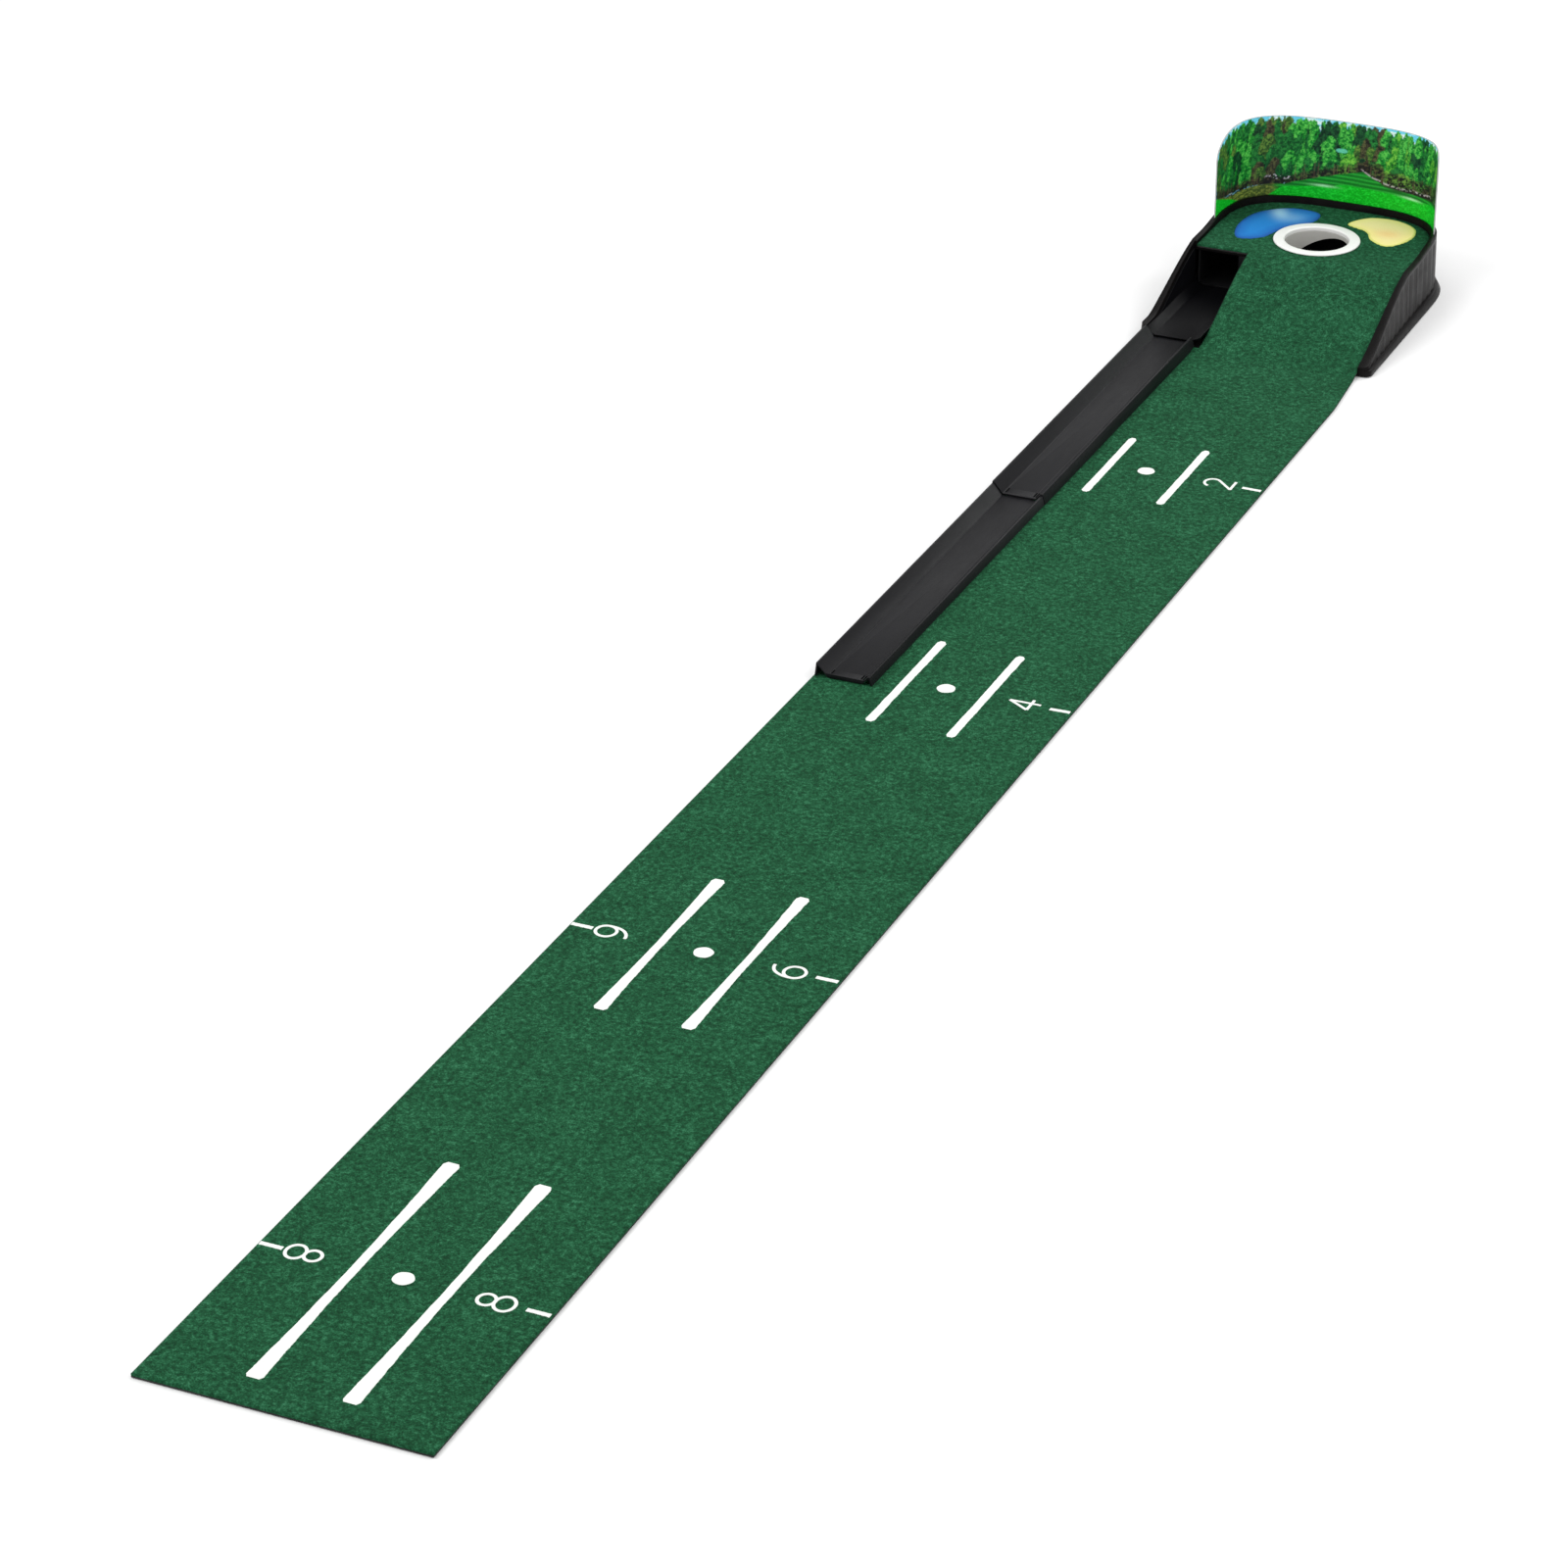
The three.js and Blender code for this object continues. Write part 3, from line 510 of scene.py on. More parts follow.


# ---- the inlays: smooth closed outlines, crowned a little, coloured by distance from the edge with painted shade at the rim ----
def closed_curve(points, count):
    """A Catmull-Rom curve through points given in millimetres, all spread by chord length."""
    p = np.array(points, float) / 1000
    n = len(p)
    out = []
    for k in range(count):
        place = k / count * n
        i, t = int(place), place - int(place)
        corner = [p[(i + j - 1) % n] for j in range(4)]
        knots = [0.0]
        for a, b in zip(corner, corner[1:]):
            knots.append(knots[-1] + math.sqrt(math.dist(a, b)))
        t = knots[1] + (knots[2] - knots[1]) * t

        def part_way(a, b, ta, tb):
            return a * (tb - t) / (tb - ta) + b * (t - ta) / (tb - ta)

        a1 = part_way(corner[0], corner[1], knots[0], knots[1])
        a2 = part_way(corner[1], corner[2], knots[1], knots[2])
        a3 = part_way(corner[2], corner[3], knots[2], knots[3])
        b1 = part_way(a1, a2, knots[0], knots[2])
        b2 = part_way(a2, a3, knots[1], knots[3])
        out.append(part_way(b1, b2, knots[1], knots[2]))
    return np.array(out)


def inside_of(outline, x, y):
    """True for each point inside a closed outline."""
    inside = np.zeros(len(x), bool)
    for (ax, ay), (bx, by) in zip(outline, np.roll(outline, -1, 0)):
        crosses = (ay > y) != (by > y)
        where = ax + (y - ay) / (by - ay if by != ay else 1e-12) * (bx - ax)
        inside ^= crosses & (x < where)
    return inside


def add_inlay(name, node_name, outline, centre, material, tint_and_painted_sheen):
    """Rings from the outline in to a centre line, a soft edge, and the pile's relief on top."""
    count, rings = len(outline), 26
    tree = tree_of(outline)
    verts, from_edge, tint_and_sheen_shares = [], [], []
    for k in range(rings + 1):
        for p in outline:
            verts.append(p + (centre(p) - p) * k / rings)
    verts = np.array(verts)
    for x, y in verts:
        _, _, distance = tree.find((x, y, 0))
        from_edge.append(distance)
        tint_and_sheen_shares.append(tint_and_painted_sheen(x, y))
    from_edge = np.array(from_edge)
    relief = 0.00025 * (cloudy(verts[:, 0] * 260, verts[:, 1] * 260, 9) - 0.5)
    z = DECK_TOP - 0.0005 + 0.0006 * smooth(from_edge / 0.003) + relief * smooth(from_edge / 0.002)
    low = np.column_stack([outline, np.full(count, DECK_UNDER + BACKING)])
    top = np.column_stack([verts, z])
    faces = grid_faces(rings + 1, count, closed=True)
    index = np.arange(count)
    after = (index + 1) % count
    base = len(top)
    walls = np.stack([base + index, base + after, after, index], -1)
    inlay = piece(name, np.concatenate([top, low]), np.concatenate([faces, walls]), material)
    for key, values in (("from_edge", from_edge / EDGE_FADE), ("tint_and_painted_sheen", np.array(tint_and_sheen_shares))):
        layer = inlay.data.attributes.new(key, "FLOAT", "POINT")
        stored = np.concatenate([values, np.zeros(count)])
        layer.data.foreach_set("value", stored.astype(np.float32))
    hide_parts(node_name)
    return inlay


# ---- the printed marks ----
def ribbon(line, widths, low, high, closed=False):
    """A flat strip along a line of points, with a softened top edge. Returns points and quads."""
    line = np.asarray(line, float)
    widths = np.broadcast_to(np.asarray(widths, float), (len(line),))
    if closed:
        ahead, behind = np.roll(line, -1, 0), np.roll(line, 1, 0)
    else:
        ahead, behind = np.vstack([line[1:], line[-1]]), np.vstack([line[0], line[:-1]])
    along = ahead - behind
    along /= np.linalg.norm(along, axis=1)[:, None]
    out = np.stack([along[:, 1], -along[:, 0]], -1) * widths[:, None] / 2
    soft = 0.88
    middle = (low + high) / 2
    rings = [(-1.0, low), (-1.0, middle), (-soft, high), (soft, high), (1.0, middle), (1.0, low)]
    count = len(line)
    verts = np.stack([np.column_stack([line + out * s, np.full(count, z)]) for s, z in rings], 1)
    faces = []
    for i in range(count if closed else count - 1):
        j = (i + 1) % count
        for k in range(6):
            m = (k + 1) % 6
            faces.append([i * 6 + k, i * 6 + m, j * 6 + m, j * 6 + k])
    if not closed:
        faces.append([5, 4, 3, 2, 1, 0])
        faces.append([(count - 1) * 6 + k for k in range(6)])
    return verts.reshape(-1, 3), faces


def arc(cx, cy, rx, ry, start, end, count):
    """Points along a stretch of an ellipse, from one angle to another in degrees."""
    angles = np.radians(np.linspace(start, end, count))
    return np.stack([cx + rx * np.cos(angles), cy + ry * np.sin(angles)], -1)


def straight(a, b, count=8):
    """Points along a straight line."""
    return np.linspace(np.array(a, float), np.array(b, float), count)


def digit_lines(digit):
    """Centre lines of a digit one unit tall, as (points, closed)."""
    if digit == 8:
        top = arc(0, 0.765, 0.25, 0.235, 0, 360, 41)[:-1]
        bottom = arc(0, 0.27, 0.32, 0.27, 0, 360, 49)[:-1]
        return [(top, True), (bottom, True)]
    if digit == 6:
        bowl = arc(0, 0.31, 0.31, 0.31, 0, 360, 49)[:-1]
        t = np.linspace(0, 1, 20)[:, None]
        pulls = ((-0.31, 0.31), (-0.32, 0.72), (-0.12, 0.98), (0.2, 0.98))
        a, b, c, d = (np.array(p) for p in pulls)
        stem = (1 - t) ** 3 * a + 3 * (1 - t) ** 2 * t * b + 3 * (1 - t) * t**2 * c + t**3 * d
        return [(bowl, True), (stem, False)]
    if digit == 4:
        return [
            (straight((0.10, 1.0), (-0.34, 0.30)), False),
            (straight((-0.34, 0.30), (0.34, 0.30)), False),
            (straight((0.10, 1.0), (0.10, 0.0)), False),
        ]
    hook = arc(0, 0.71, 0.29, 0.27, 165, -38, 24)
    return [
        (np.vstack([hook, straight(hook[-1], (-0.31, 0.0), 10)[1:]]), False),
        (straight((-0.33, 0.0), (0.33, 0.0)), False),
    ]


def joined(parts):
    """One list of points and one of faces from several."""
    verts, faces = [], []
    for points, quads in parts:
        start = sum(len(v) for v in verts)
        verts.append(points)
        faces += [[start + i for i in quad] for quad in quads]
    return np.concatenate(verts), faces


def add_marks(feet, length, end_width, waist):
    """Two guide lines, a dot, two edge ticks and two digits at a number of feet from the cup."""
    y0 = -feet * FOOT
    low, high = TURF_THICK - PRINT_DEPTH, TURF_THICK
    parts = []
    for side in (-1, 1):
        t = np.linspace(-1, 1, max(40, round(length / 0.004)))
        width = waist + (end_width - waist) * np.abs(t) ** 1.7
        from_end = (1 - np.abs(t)) * length / 2
        corner = 0.003
        inside = np.clip(from_end, 0, corner)
        width -= 2 * (corner - np.sqrt(corner**2 - (corner - inside) ** 2)) * 0.85
        width += 0.0004 * (value_noise(t * length * 260, t * 0 + feet, 31 + side) - 0.5)
        drift = 0.0005 * (value_noise(t * length * 40, t * 0 + feet, 57 + side) - 0.5)
        line = np.stack([side * GUIDE_SIDE + drift, y0 + t * length / 2], -1)
        parts.append(ribbon(line, width, low, high))
        tick = straight((side * (MAT_HALF - 0.0012), y0), (side * TICK_INNER, y0), 14)
        parts.append(ribbon(tick, TICK_WIDTH + 0.0003 * np.sin(np.arange(14) * 2.1), low, high))
        centre, tall = (0.088, 0.0345) if side > 0 else (-0.096, 0.0335)
        for k, (points, closed) in enumerate(digit_lines(feet)):
            up = points[:, 1] - 0.5
            placed = np.stack([centre - side * up * tall, y0 + side * points[:, 0] * tall], -1)
            parts.append(ribbon(placed, DIGIT_STROKE, low, high + 0.00003 * k, closed))
    count = 48
    turn = np.linspace(0, 2 * math.pi, count, endpoint=False)
    radius = DOT_RADIUS + 0.00018 * np.sin(turn * 5 + feet)
    ring = np.stack([np.cos(turn) * radius, y0 + np.sin(turn) * radius], -1)
    verts = np.concatenate([
        np.column_stack([ring, np.full(count, low)]),
        np.column_stack([ring, np.full(count, (low + high) / 2)]),
        np.column_stack([ring * 0.97 + np.array([0, y0]) * 0.03, np.full(count, high)]),
    ])
    top_face = list(range(2 * count, 3 * count))
    parts.append((verts, grid_faces(3, count, closed=True).tolist() + [top_face]))
    verts, faces = joined(parts)
    verts[:, 2] += pile_relief(verts[:, 0], verts[:, 1])
    return piece(f"foot_marks_{feet}", verts, faces, WHITE_PRINT, soft=False)


# ---- the backboard ----
def panel_line(count):
    """Points spaced evenly along the panel's middle from the right wing round to the left, with
    their outward normals and their distance to the left of the middle of the back."""
    line = deck_curve(4000, (PANEL_IN + PANEL_OUT) / 2)
    line = line[line[:, 1] >= np.where(line[:, 0] > 0, PANEL_FRONT_RIGHT, PANEL_FRONT_LEFT)]
    line[0, 1], line[-1, 1] = PANEL_FRONT_RIGHT, PANEL_FRONT_LEFT
    gone = np.concatenate([[0], np.cumsum(np.linalg.norm(np.diff(line, axis=0), axis=1))])
    at = np.linspace(0, gone[-1], count)
    points = np.stack([np.interp(at, gone, line[:, 0]), np.interp(at, gone, line[:, 1])], -1)
    along = np.gradient(points, axis=0)
    along /= np.linalg.norm(along, axis=1)[:, None]
    middle = np.interp(0, -line[:, 0], gone)
    return points, np.stack([along[:, 1], -along[:, 0]], -1), at - middle


def panel_heights(points, top):
    """Height of the panel's top edge at each point: level at the back, rounded down at the wings,
    each by its own drop."""
    right = points[:, 0] > 0
    front = np.where(right, PANEL_FRONT_RIGHT, PANEL_FRONT_LEFT)
    drop = np.where(right, PANEL_RIGHT_DROP, PANEL_LEFT_DROP)
    inward = np.clip((PANEL_CORNER_FROM - points[:, 1]) / (PANEL_CORNER_FROM - front), 0, 1)
    return top - drop * (1 - np.sqrt(1 - inward**2))


def crown(s, h, centre, base, top, half, seed, pointed):
    """How far inside a tree's crown each point lies: positive inside, with a ragged outline."""
    up = np.clip((h - base) / (top - base), 0, 1)
    round_shape = np.sqrt(np.clip(1 - (2 * up - 0.8) ** 2 / 1.44, 0, 1))
    spire = (1 - up) ** 0.7 * (0.5 + 0.5 * smooth(up * 5))
    reach = half * (spire if pointed else round_shape)
    ragged = 4.5 * (cloudy(s / 2.6 + seed, h / 2.3, seed) - 0.5)
    lean = 3.0 * (value_noise(h / 9, h * 0, seed) - 0.5)
    inside = np.minimum(reach - np.abs(s - centre - lean), (top + 1.5 - h) * 0.8) + ragged
    return np.where(h > base, inside, -1.0)


def rgb(r, g, b):
    """Linear colour from display values."""
    c = np.array([r, g, b]) / 255
    return np.where(c <= 0.04045, c / 12.92, ((c + 0.055) / 1.055) ** 2.4)


def between(first, second, share):
    """A colour for each point, a share of the way from the first to the second."""
    return first + (second - first) * share[:, None]


def lay(under, colour, amount):
    """A colour laid over others, from 0 for none of it to 1 for all of it."""
    return under + (colour - under) * np.clip(amount, 0, 1)[:, None]


def paint_woods(picture, s, h, edge):
    """Overlapping crowns from the back row to the front, close-set up to the panel's top edge."""
    # main, dark and light colour of each kind of tree
    kinds = {
        "bright": (rgb(22, 128, 42), rgb(4, 58, 22), rgb(84, 186, 74)),
        "deep": (rgb(14, 82, 36), rgb(2, 34, 18), rgb(40, 126, 54)),
        "olive": (rgb(48, 88, 36), rgb(22, 36, 20), rgb(98, 134, 54)),
        "dark": (rgb(10, 52, 30), rgb(2, 20, 16), rgb(28, 84, 44)),
        "lime": (rgb(44, 136, 36), rgb(12, 66, 24), rgb(116, 190, 66)),
        "brown": (rgb(52, 50, 36), rgb(22, 22, 20), rgb(84, 86, 52)),
    }
    # where each stretch starts, and the kinds that grow in it
    zones = [
        (-215, "deep olive deep bright"),
        (-158, "bright deep bright dark"),
        (-116, "olive deep olive brown"),
        (-74, "bright bright deep bright"),
        (-42, "dark deep dark bright"),
        (-14, "lime bright deep lime"),
        (14, "deep brown dark olive"),
        (48, "bright lime deep bright"),
        (92, "bright dark bright deep"),
        (128, "bright deep lime bright"),
    ]
    # for each row: its foot, how far its tops stay below the edge, how much they vary, half a
    # crown's width, and the pitch
    rows = [
        (50, 0.0, 4, 10.0, 6.5),
        (46, 2.0, 8, 10.5, 9.0),
        (38, 16.0, 14, 12.0, 9.5),
        (30, 34.0, 16, 12.0, 9.0),
        (24, 52.0, 16, 11.0, 8.0),
    ]
    painter = np.random.default_rng(23)
    order = np.argsort(s)
    edge_of = (s[order], edge[order])
    for depth, (base, below, spread, half, pitch) in enumerate(rows):
        for k, centre in enumerate(np.arange(-214 + depth * 4, 166, pitch)):
            centre = centre + painter.uniform(-4, 4)
            top = np.interp(centre, *edge_of) - below - painter.uniform(0, spread)
            width = half * painter.uniform(0.6, 1.15)
            zone = [names for start, names in zones if centre >= start - 4][-1].split()
            main, dark, light = kinds[zone[painter.integers(len(zone))]]
            pointed = painter.random() < (0.35 if depth == 1 else 0.15)
            seed = 100 + depth * 60 + k
            near = (np.abs(s - centre) < width + 9) & (h > base - 10)
            ns, nh = s[near], h[near]
            inside = crown(ns, nh, centre, base - 8, top, width, seed, pointed)
            clumps = cloudy(ns / 4.2, nh / 3.0, seed + 7, 2)
            leaves = cloudy(ns / 1.5, nh / 1.3, seed + 11, 2)
            lit = 0.5 * clumps + 0.5 * leaves + 0.10 * np.clip((centre - ns) / width, -1, 1)
            lit = lit + 0.16 * ((nh - base) / (top - base) - 0.5)
            colour = between(main, light, smooth((lit - 0.50) * 5))
            colour = between(colour, dark, smooth((0.47 - lit) * 6))
            rim_shade = smooth(1 - inside / 3.0) * 0.5 * smooth((top - nh) / 10)
            colour = between(colour, dark, rim_shade)
            picture[near] = lay(picture[near], colour, smooth(inside / 0.9))
    return picture


def paint_landscape(s, h, edge):
    """A generic wooded fairway, in linear colour. s runs to the right from the middle of the back
    and h up from the rim, in millimetres, and edge is the height of the panel's top."""
    deep_sky, pale_sky = rgb(104, 200, 226), rgb(214, 242, 246)
    cloud = smooth((cloudy(s / 14, h / 5, 71) - 0.42) * 4)
    picture = between(deep_sky, pale_sky, cloud)
    picture = paint_woods(picture, s, h, edge)

    # the far edge of the grass, with dark scrub and pale trunks above it
    wave = 3 * (cloudy(s / 12, s * 0, 88) - 0.5)
    meadow_from = [-215, -165, -110, -82, -9, 18, 48, 80, 115, 165]
    meadow = np.interp(s, meadow_from, [24, 12, 17, 17, 38, 45, 31, 28, 30, 34])
    scrub = cloudy(s / 2.6, h / 1.9, 93)
    deep = 13 + 10 * smooth((s + 5) / 50)
    bushes = smooth((meadow + deep + 2 * wave - h + 9 * (scrub - 0.5)) / 6)
    shade = between(rgb(26, 24, 22), rgb(88, 74, 52), smooth((scrub - 0.48) * 5))
    picture = lay(picture, shade, bushes * (0.55 + 0.45 * smooth((0.62 - scrub) * 5)))
    painter = np.random.default_rng(5)
    for _ in range(34):
        at, tall = painter.uniform(-205, 160), painter.uniform(8, 22)
        trunk = np.exp(-((s - at - 0.03 * h) / 0.5) ** 2) * (h > meadow - 1) * (h < meadow + tall)
        picture = lay(picture, rgb(112, 92, 68), 0.5 * trunk)
    pond = smooth((1 - ((s + 11) / 8.5) ** 2 - ((h - 68) / 3.4) ** 2) * 2.5)
    picture = lay(picture, rgb(96, 196, 168), 0.85 * pond)
    flower_patch = smooth((1 - ((s + 90) / 20) ** 2 - ((h - 26) / 4.0) ** 2) * 2)
    beds = smooth((scrub - 0.55) * 9) * flower_patch
    picture = lay(picture, rgb(196, 190, 200), 0.9 * beds)

    # the mown fairway and the rough on the left
    far = smooth((meadow + wave * 0.3 - h) / 1.2)
    mown = 0.5 + 0.5 * np.sin(h * 1.15 + s * 0.02)
    stripe = smooth((mown - 0.5) * 3) * 0.8
    fair = between(rgb(12, 112, 30), rgb(40, 168, 54), stripe)
    rough = smooth((-88 - s) / 14)
    stalks = cloudy(s / 3.5, h / 1.1, 37)
    olive = between(rgb(66, 84, 34), rgb(128, 140, 60), smooth((stalks - 0.45) * 4))
    picture = lay(picture, lay(fair, olive, rough), far)

    # the bright green in front, its pale highlights and its shaded foot
    front_from = [-215, -168, -150, -112, -86, -32, -4, 87, 137, 165]
    front = np.interp(s, front_from, [24, 9, 2, -4, 13, 18, 24, 21, 27, 29])
    green = smooth((front + wave * 0.2 - h) / 0.9)
    blades = cloudy(s / 2.4, h / 0.9, 61)
    bright = between(rgb(6, 172, 28), rgb(30, 208, 52), smooth((blades - 0.45) * 4))
    picture = lay(picture, bright, green)
    foot = smooth((3.5 - h) / 3) * smooth((-88 - s) / 10) * smooth((s + 165) / 14)
    picture = lay(picture, rgb(30, 40, 24), 0.85 * foot)
    glow = np.exp(-((s + 32) / 15) ** 2 - ((h - 18.5) / 1.5) ** 2)
    glow = glow + np.exp(-((s - 87) / 14) ** 2 - ((h - 21.5) / 1.5) ** 2)
    picture = lay(picture, rgb(176, 238, 184), 0.85 * glow)

    # a pale path with dark scrub under it, running down to the right
    path_h = np.interp(s, [16, 30, 48, 80, 114, 165], [47, 40, 32.5, 31, 34, 37])
    path_h = path_h + 0.8 * np.sin(s / 6)
    along = smooth((s - 14) / 5)
    under = np.exp(-((h - path_h + 2.6) / 2.4) ** 2) * along * smooth((s - 40) / 12)
    picture = lay(picture, rgb(30, 24, 30), 0.8 * under)
    path = np.exp(-((h - path_h) / (0.7 + 0.004 * s)) ** 2) * along
    path = path * smooth((scrub - 0.30 - 0.002 * s) * 8)
    picture = lay(picture, rgb(202, 192, 200), 0.85 * path)
    brightness = 1.25
    return np.clip(picture * brightness, 0, 1)


def add_backboard():
    low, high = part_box("backboard_panel")
    bottom, top = low.z, high.z
    columns = 520
    points, out, at = panel_line(columns)
    tops = panel_heights(points, top)

    # the board, closed, with rounded edges: at each station its section runs up the inner face and
    # down the outer face, as (distance outwards, share of the height, rise of the rounded edge)
    thick = (PANEL_OUT - PANEL_IN) / 2
    rounding = 0.0003
    section = [(-thick, t, 0) for t in np.linspace(0, 1, 14)]
    section += [(-thick * 0.5, 1, rounding), (thick * 0.5, 1, rounding)]
    section += [(thick, t, 0) for t in np.linspace(1, 0, 14)]
    section += [(thick * 0.5, 0, -rounding), (-thick * 0.5, 0, -rounding)]
    count = len(section)
    verts = []
    for (x, y), (nx, ny), high_here in zip(points, out, tops):
        tall = high_here - bottom - 2 * rounding
        for o, t, rise in section:
            verts.append((x + nx * o, y + ny * o, bottom + rounding + tall * t + rise))
    faces = grid_faces(columns, count, closed=True).tolist()
    faces.append(list(range(count)))
    faces.append([(columns - 1) * count + k for k in reversed(range(count))])
    board = piece("backboard", verts, faces, PANEL_BACK, "backboard")
    crease(board, 40)
    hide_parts("backboard_panel")

    # the printed film on its inner face
    rows = 108
    rim = bottom + PANEL_RIM
    border = 0.0006
    verts = []
    for k in range(rows):
        v = k / (rows - 1)
        z = bottom + border + (tops - bottom - 2 * border) * v
        place = points - out * (thick + 0.00012)
        verts.append(np.column_stack([place, z]))
    verts = np.concatenate(verts)
    faces = grid_faces(rows, columns)[:, ::-1]
    film = piece("backboard_print", verts, faces, PICTURE, "backboard")
    s = np.tile(-at, rows) * 1000
    h = (verts[:, 2] - rim) * 1000
    colours = np.ones((len(verts), 4), np.float32)
    colours[:, :3] = paint_landscape(s, h, (np.tile(tops, rows) - rim) * 1000)
    layer = film.data.color_attributes.new("picture", "FLOAT_COLOR", "POINT")
    layer.data.foreach_set("color", colours.ravel())


# ---- the cup ----
def lathe(name, profile, material, low_end=None):
    """A closed profile of radius and height, turned about the cup's axis. low_end gives the heights
    that the profile leaves out."""
    count = 144
    verts = []
    for k in range(count):
        angle = 2 * math.pi * k / count
        x, y = math.cos(angle), math.sin(angle)
        for r, z in profile:
            verts.append((x * r, y * r, low_end(x * r, y * r) if z is None else z))
    n = len(profile)
    faces = []
    for k in range(count):
        m = (k + 1) % count
        for i in range(n):
            j = (i + 1) % n
            faces.append([k * n + i, m * n + i, m * n + j, k * n + j])
    return piece(name, verts, faces, material, "cup")


def fillet(cx, cz, radius, start, end, count):
    """Points round a profile's corner, from one angle to another in degrees."""
    return [
        (cx + radius * math.cos(math.radians(a)), cz + radius * math.sin(math.radians(a)))
        for a in np.linspace(start, end, count)
    ]


def add_cup():
    under, top = ring_low.z, ring_high.z
    flange_low = DECK_TOP + 0.0003
    outer = ring_high.x
    collar = CUP_RADIUS + 0.0025
    profile = [(CUP_RADIUS, under), (collar, under), (collar, flange_low)]
    profile += fillet(outer - 0.0004, flange_low + 0.0004, 0.0004, -90, 0, 3)
    profile += fillet(outer - 0.0014, top - 0.0014, 0.0014, 0, 90, 6)
    profile += fillet(CUP_RADIUS + 0.0022, top - 0.0008, 0.0008, 90, 130, 3)
    profile += fillet(CUP_RADIUS + 0.0016, top - 0.0016, 0.0016, 140, 180, 5)
    ring = lathe("cup_rim", profile, WHITE)
    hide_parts("cup_ring")
    crease(ring, 40)

    # the sleeve's lower edge is cut on a slant, and is highest behind the cup on the right
    bearing = math.radians(38)
    middle_height = 0.040
    slope = 0.5

    def cut(x, y):
        return middle_height + slope * (x * math.sin(bearing) + y * math.cos(bearing))

    _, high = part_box("cup_sleeve")
    outside = CUP_RADIUS + 0.0016
    lip = CUP_HOLE - 0.0005
    plate = high.z - 0.0015
    profile = [(CUP_RADIUS, None), (outside, None), (outside, plate), (lip, plate)]
    profile += [(lip, high.z), (CUP_RADIUS + 0.0005, high.z), (CUP_RADIUS, high.z - 0.0005)]
    profile += [(CUP_RADIUS, 0.060)]
    # the liner wears the darker copy of the white plastic, as painted shade
    sleeve = lathe("cup_liner", profile, SLEEVE_SHADED_WHITE, low_end=cut)
    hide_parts("cup_sleeve")
    crease(sleeve, 40)


# ---- the rigid pieces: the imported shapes, with rounded edges ----
def soften(name, material, width, steps=2):
    """Rounds a CAD node's edges with modifiers, so that they catch the light as moulded ones do."""
    made = nodes[name]
    made.data.materials.clear()
    made.data.materials.append(material)
    made.data.polygons.foreach_set("use_smooth", [True] * len(made.data.polygons))
    weld = made.modifiers.new("weld", "WELD")
    weld.merge_threshold = 0.000005
    flat = made.modifiers.new("flat", "DECIMATE")
    flat.decimate_type = "DISSOLVE"
    flat.angle_limit = math.radians(0.4)
    edge = made.modifiers.new("edge", "BEVEL")
    edge.width = width
    edge.segments = steps
    edge.limit_method = "ANGLE"
    edge.angle_limit = math.radians(32)
    edge.harden_normals = True
    edge.use_clamp_overlap = True
    edge.miter_outer = "MITER_ARC"


water = closed_curve(WATER, 180)
trap = closed_curve(TRAP, 180)


def sunken(x, y):
    """The pile is lower where an inlay lies on it."""
    down = np.zeros(len(x))
    near = (y > -0.06) & (y < 0.12)
    under = inside_of(water, x[near], y[near]) | inside_of(trap, x[near], y[near])
    down[near] = np.where(under, INLAY_SINK, 0.0)
    return down


turf, turf_area = build_turf(sunken)
marks = [
    add_marks(2, 0.163, 0.0100, 0.0094),
    add_marks(4, 0.204, 0.0106, 0.0096),
    add_marks(6, 0.272, 0.0145, 0.0088),
    add_marks(8, 0.360, 0.0170, 0.0092),
]


def water_middle(p):
    """The point of the water's centre line that faces a point of its outline."""
    return np.array([-0.066, 0.042]) + np.array([0.012, 0.016]) * math.tanh((p[1] - 0.042) / 0.03)


def trap_middle(p):
    """The same for the sand trap."""
    return np.array([0.070, 0.072]) + np.array([-0.014, 0.006]) * math.tanh((0.06 - p[0]) / 0.03)


def water_painted_sheen(x, y):
    """How much of the painted highlight, a pale streak, shows at a place on the water."""
    band = math.exp(-(((x + 0.072 + (y - 0.07) * 0.3) / 0.011) ** 2) - ((y - 0.072) / 0.020) ** 2)
    return band + 0.4 * math.exp(-(((x + 0.052) / 0.016) ** 2) - ((y - 0.062) / 0.016) ** 2)


def trap_warm_tint(x, y):
    """How much of the warm patch shows at a place on the sand."""
    return math.exp(-(((x - 0.074) / 0.018) ** 2) - ((y - 0.056) / 0.014) ** 2)


# the water darkens towards its edge: painted shade round the sunken rim
WATER_BLUE = hazard_material("water_blue", [
    (0.00, (0.003, 0.040, 0.10)), (0.14, (0.003, 0.080, 0.36)),
    (0.42, (0.004, 0.150, 0.52)), (0.95, (0.008, 0.210, 0.62)),
# the pale colour and strength of the water's painted highlight
], (0.42, 0.70, 0.90), 0.7)
# the sand's dark olive edge is painted shade round the sunken rim; the yellow-green band inside it
# is the sand's own border colour
SAND_YELLOW = hazard_material("sand_yellow", [
    (0.00, (0.16, 0.30, 0.05)), (0.14, (0.66, 0.72, 0.18)),
    (0.30, (0.98, 0.88, 0.34)), (0.90, (0.99, 0.88, 0.42)),
], (0.98, 0.62, 0.24), 0.6)
pond = add_inlay(
    "water_hazard", "water_hazard_inlay", water, water_middle, WATER_BLUE, water_painted_sheen)
bunker = add_inlay(
    "sand_trap", "sand_trap_inlay", trap, trap_middle, SAND_YELLOW, trap_warm_tint)
add_backboard()
add_cup()

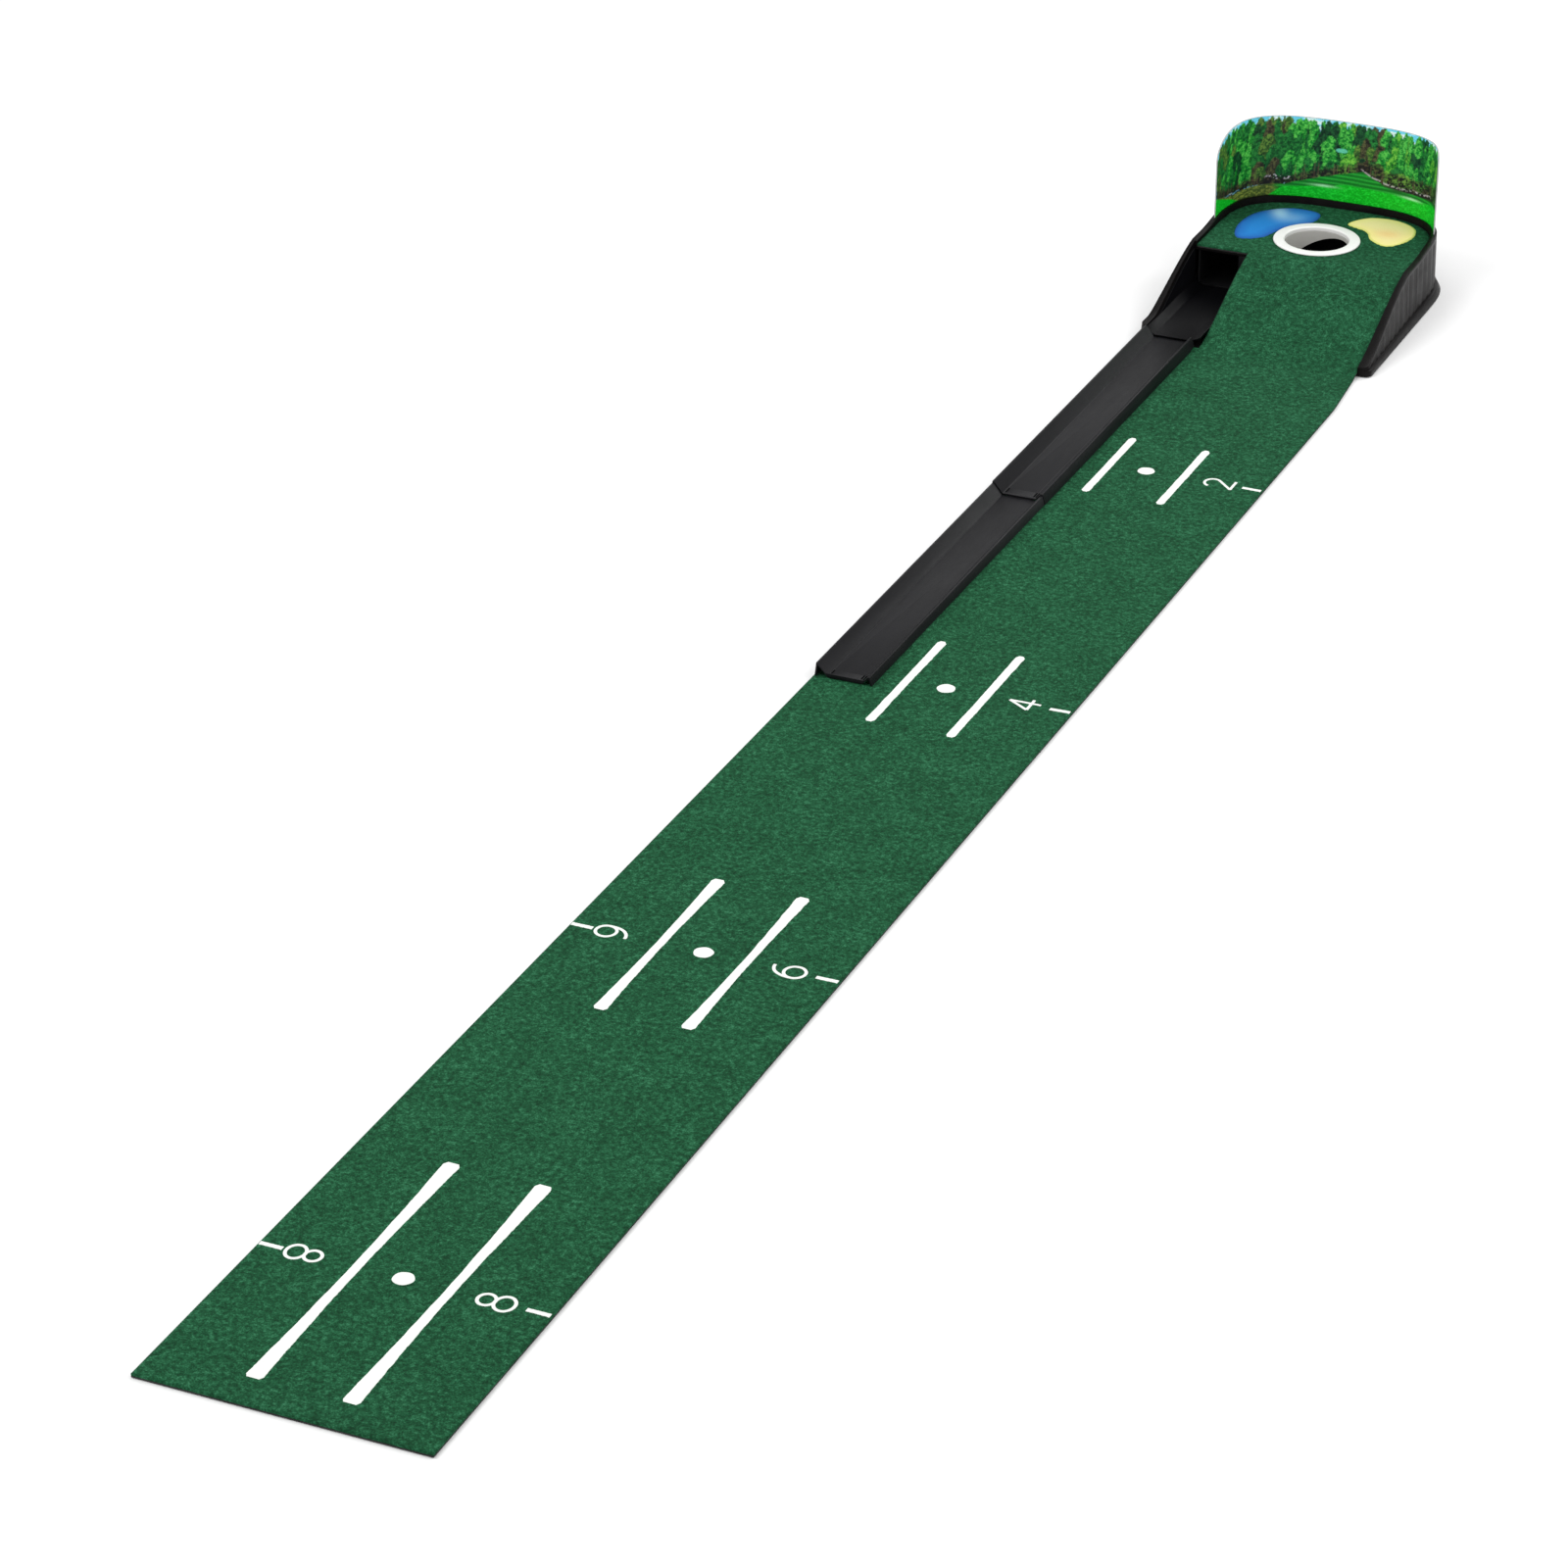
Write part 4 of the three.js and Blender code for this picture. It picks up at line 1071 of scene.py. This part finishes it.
soften("base_shell", BLACK, 0.0006)
soften("return_chute", CHUTE, 0.0004)
soften("ball_tray", INNER, 0.0003)
soften("upper_track", TRACK, 0.0004)
soften("lower_track", TRACK, 0.0004)
for name in ("mat_backing", "head_backing"):
    soften(name, RUBBER, 0.0002)
for name in ("front_left_foot", "front_right_foot", "rear_left_foot", "rear_right_foot"):
    soften(name, PAD, 0.0006, steps=3)
for name in ("turf_tape_front", "turf_tape_rear"):
    soften(name, TAPE, 0.0001)
for name in nodes:
    if "screw" in name:
        soften(name, STEEL, 0.0002)


# ---- floor, light and camera ----
def add_stage():
    """A wide pale floor, an even white sky and three soft lamps."""
    far, level = 30.0, -0.0005
    mesh = bpy.data.meshes.new("floor")
    corners = [(-far, -far, level), (far, -far, level), (far, far, level), (-far, far, level)]
    mesh.from_pydata(corners, [], [(0, 1, 2, 3)])
    floor = bpy.data.objects.new("floor", mesh)
    material, _, shader = new_material("floor_white")
    shader.inputs["Base Color"].default_value = (0.93, 0.93, 0.93, 1)
    shader.inputs["Roughness"].default_value = 0.85
    mesh.materials.append(material)
    bpy.context.scene.collection.objects.link(floor)

    world = bpy.data.worlds.new("studio")
    bpy.context.scene.world = world
    world.use_nodes = True
    background = world.node_tree.nodes["Background"]
    background.inputs["Color"].default_value = (1, 1, 1, 1)
    background.inputs["Strength"].default_value = 0.75
    for name, place, aim, power, size in (
        ("key", (-2.2, -1.2, 3.4), (0, 0.2, 0), 75, 2.6),
        ("fill", (2.8, 0.6, 2.4), (0, 0.6, 0), 34, 2.2),
        ("rear", (0.6, 3.6, 2.2), (0, 1.0, 0), 30, 1.8),
    ):
        light = bpy.data.lights.new(name, "AREA")
        light.energy = power
        light.size = size
        made = bpy.data.objects.new(name, light)
        made.location = place
        made.rotation_euler = (Vector(aim) - Vector(place)).to_track_quat("-Z", "Y").to_euler()
        bpy.context.scene.collection.objects.link(made)


def add_camera():
    """A long lens in front of the mat, above it and to its right."""
    camera = bpy.data.cameras.new("camera")
    camera.sensor_width = 36
    camera.lens = 112.79
    made = bpy.data.objects.new("camera", camera)
    made.location = (1.7036, -4.2385, 2.3128)
    made.rotation_euler = (math.radians(62.258), 0, math.radians(23.814))
    bpy.context.scene.collection.objects.link(made)
    bpy.context.scene.camera = made


add_stage()
add_camera()
bpy.context.scene.view_settings.view_transform = "Standard"
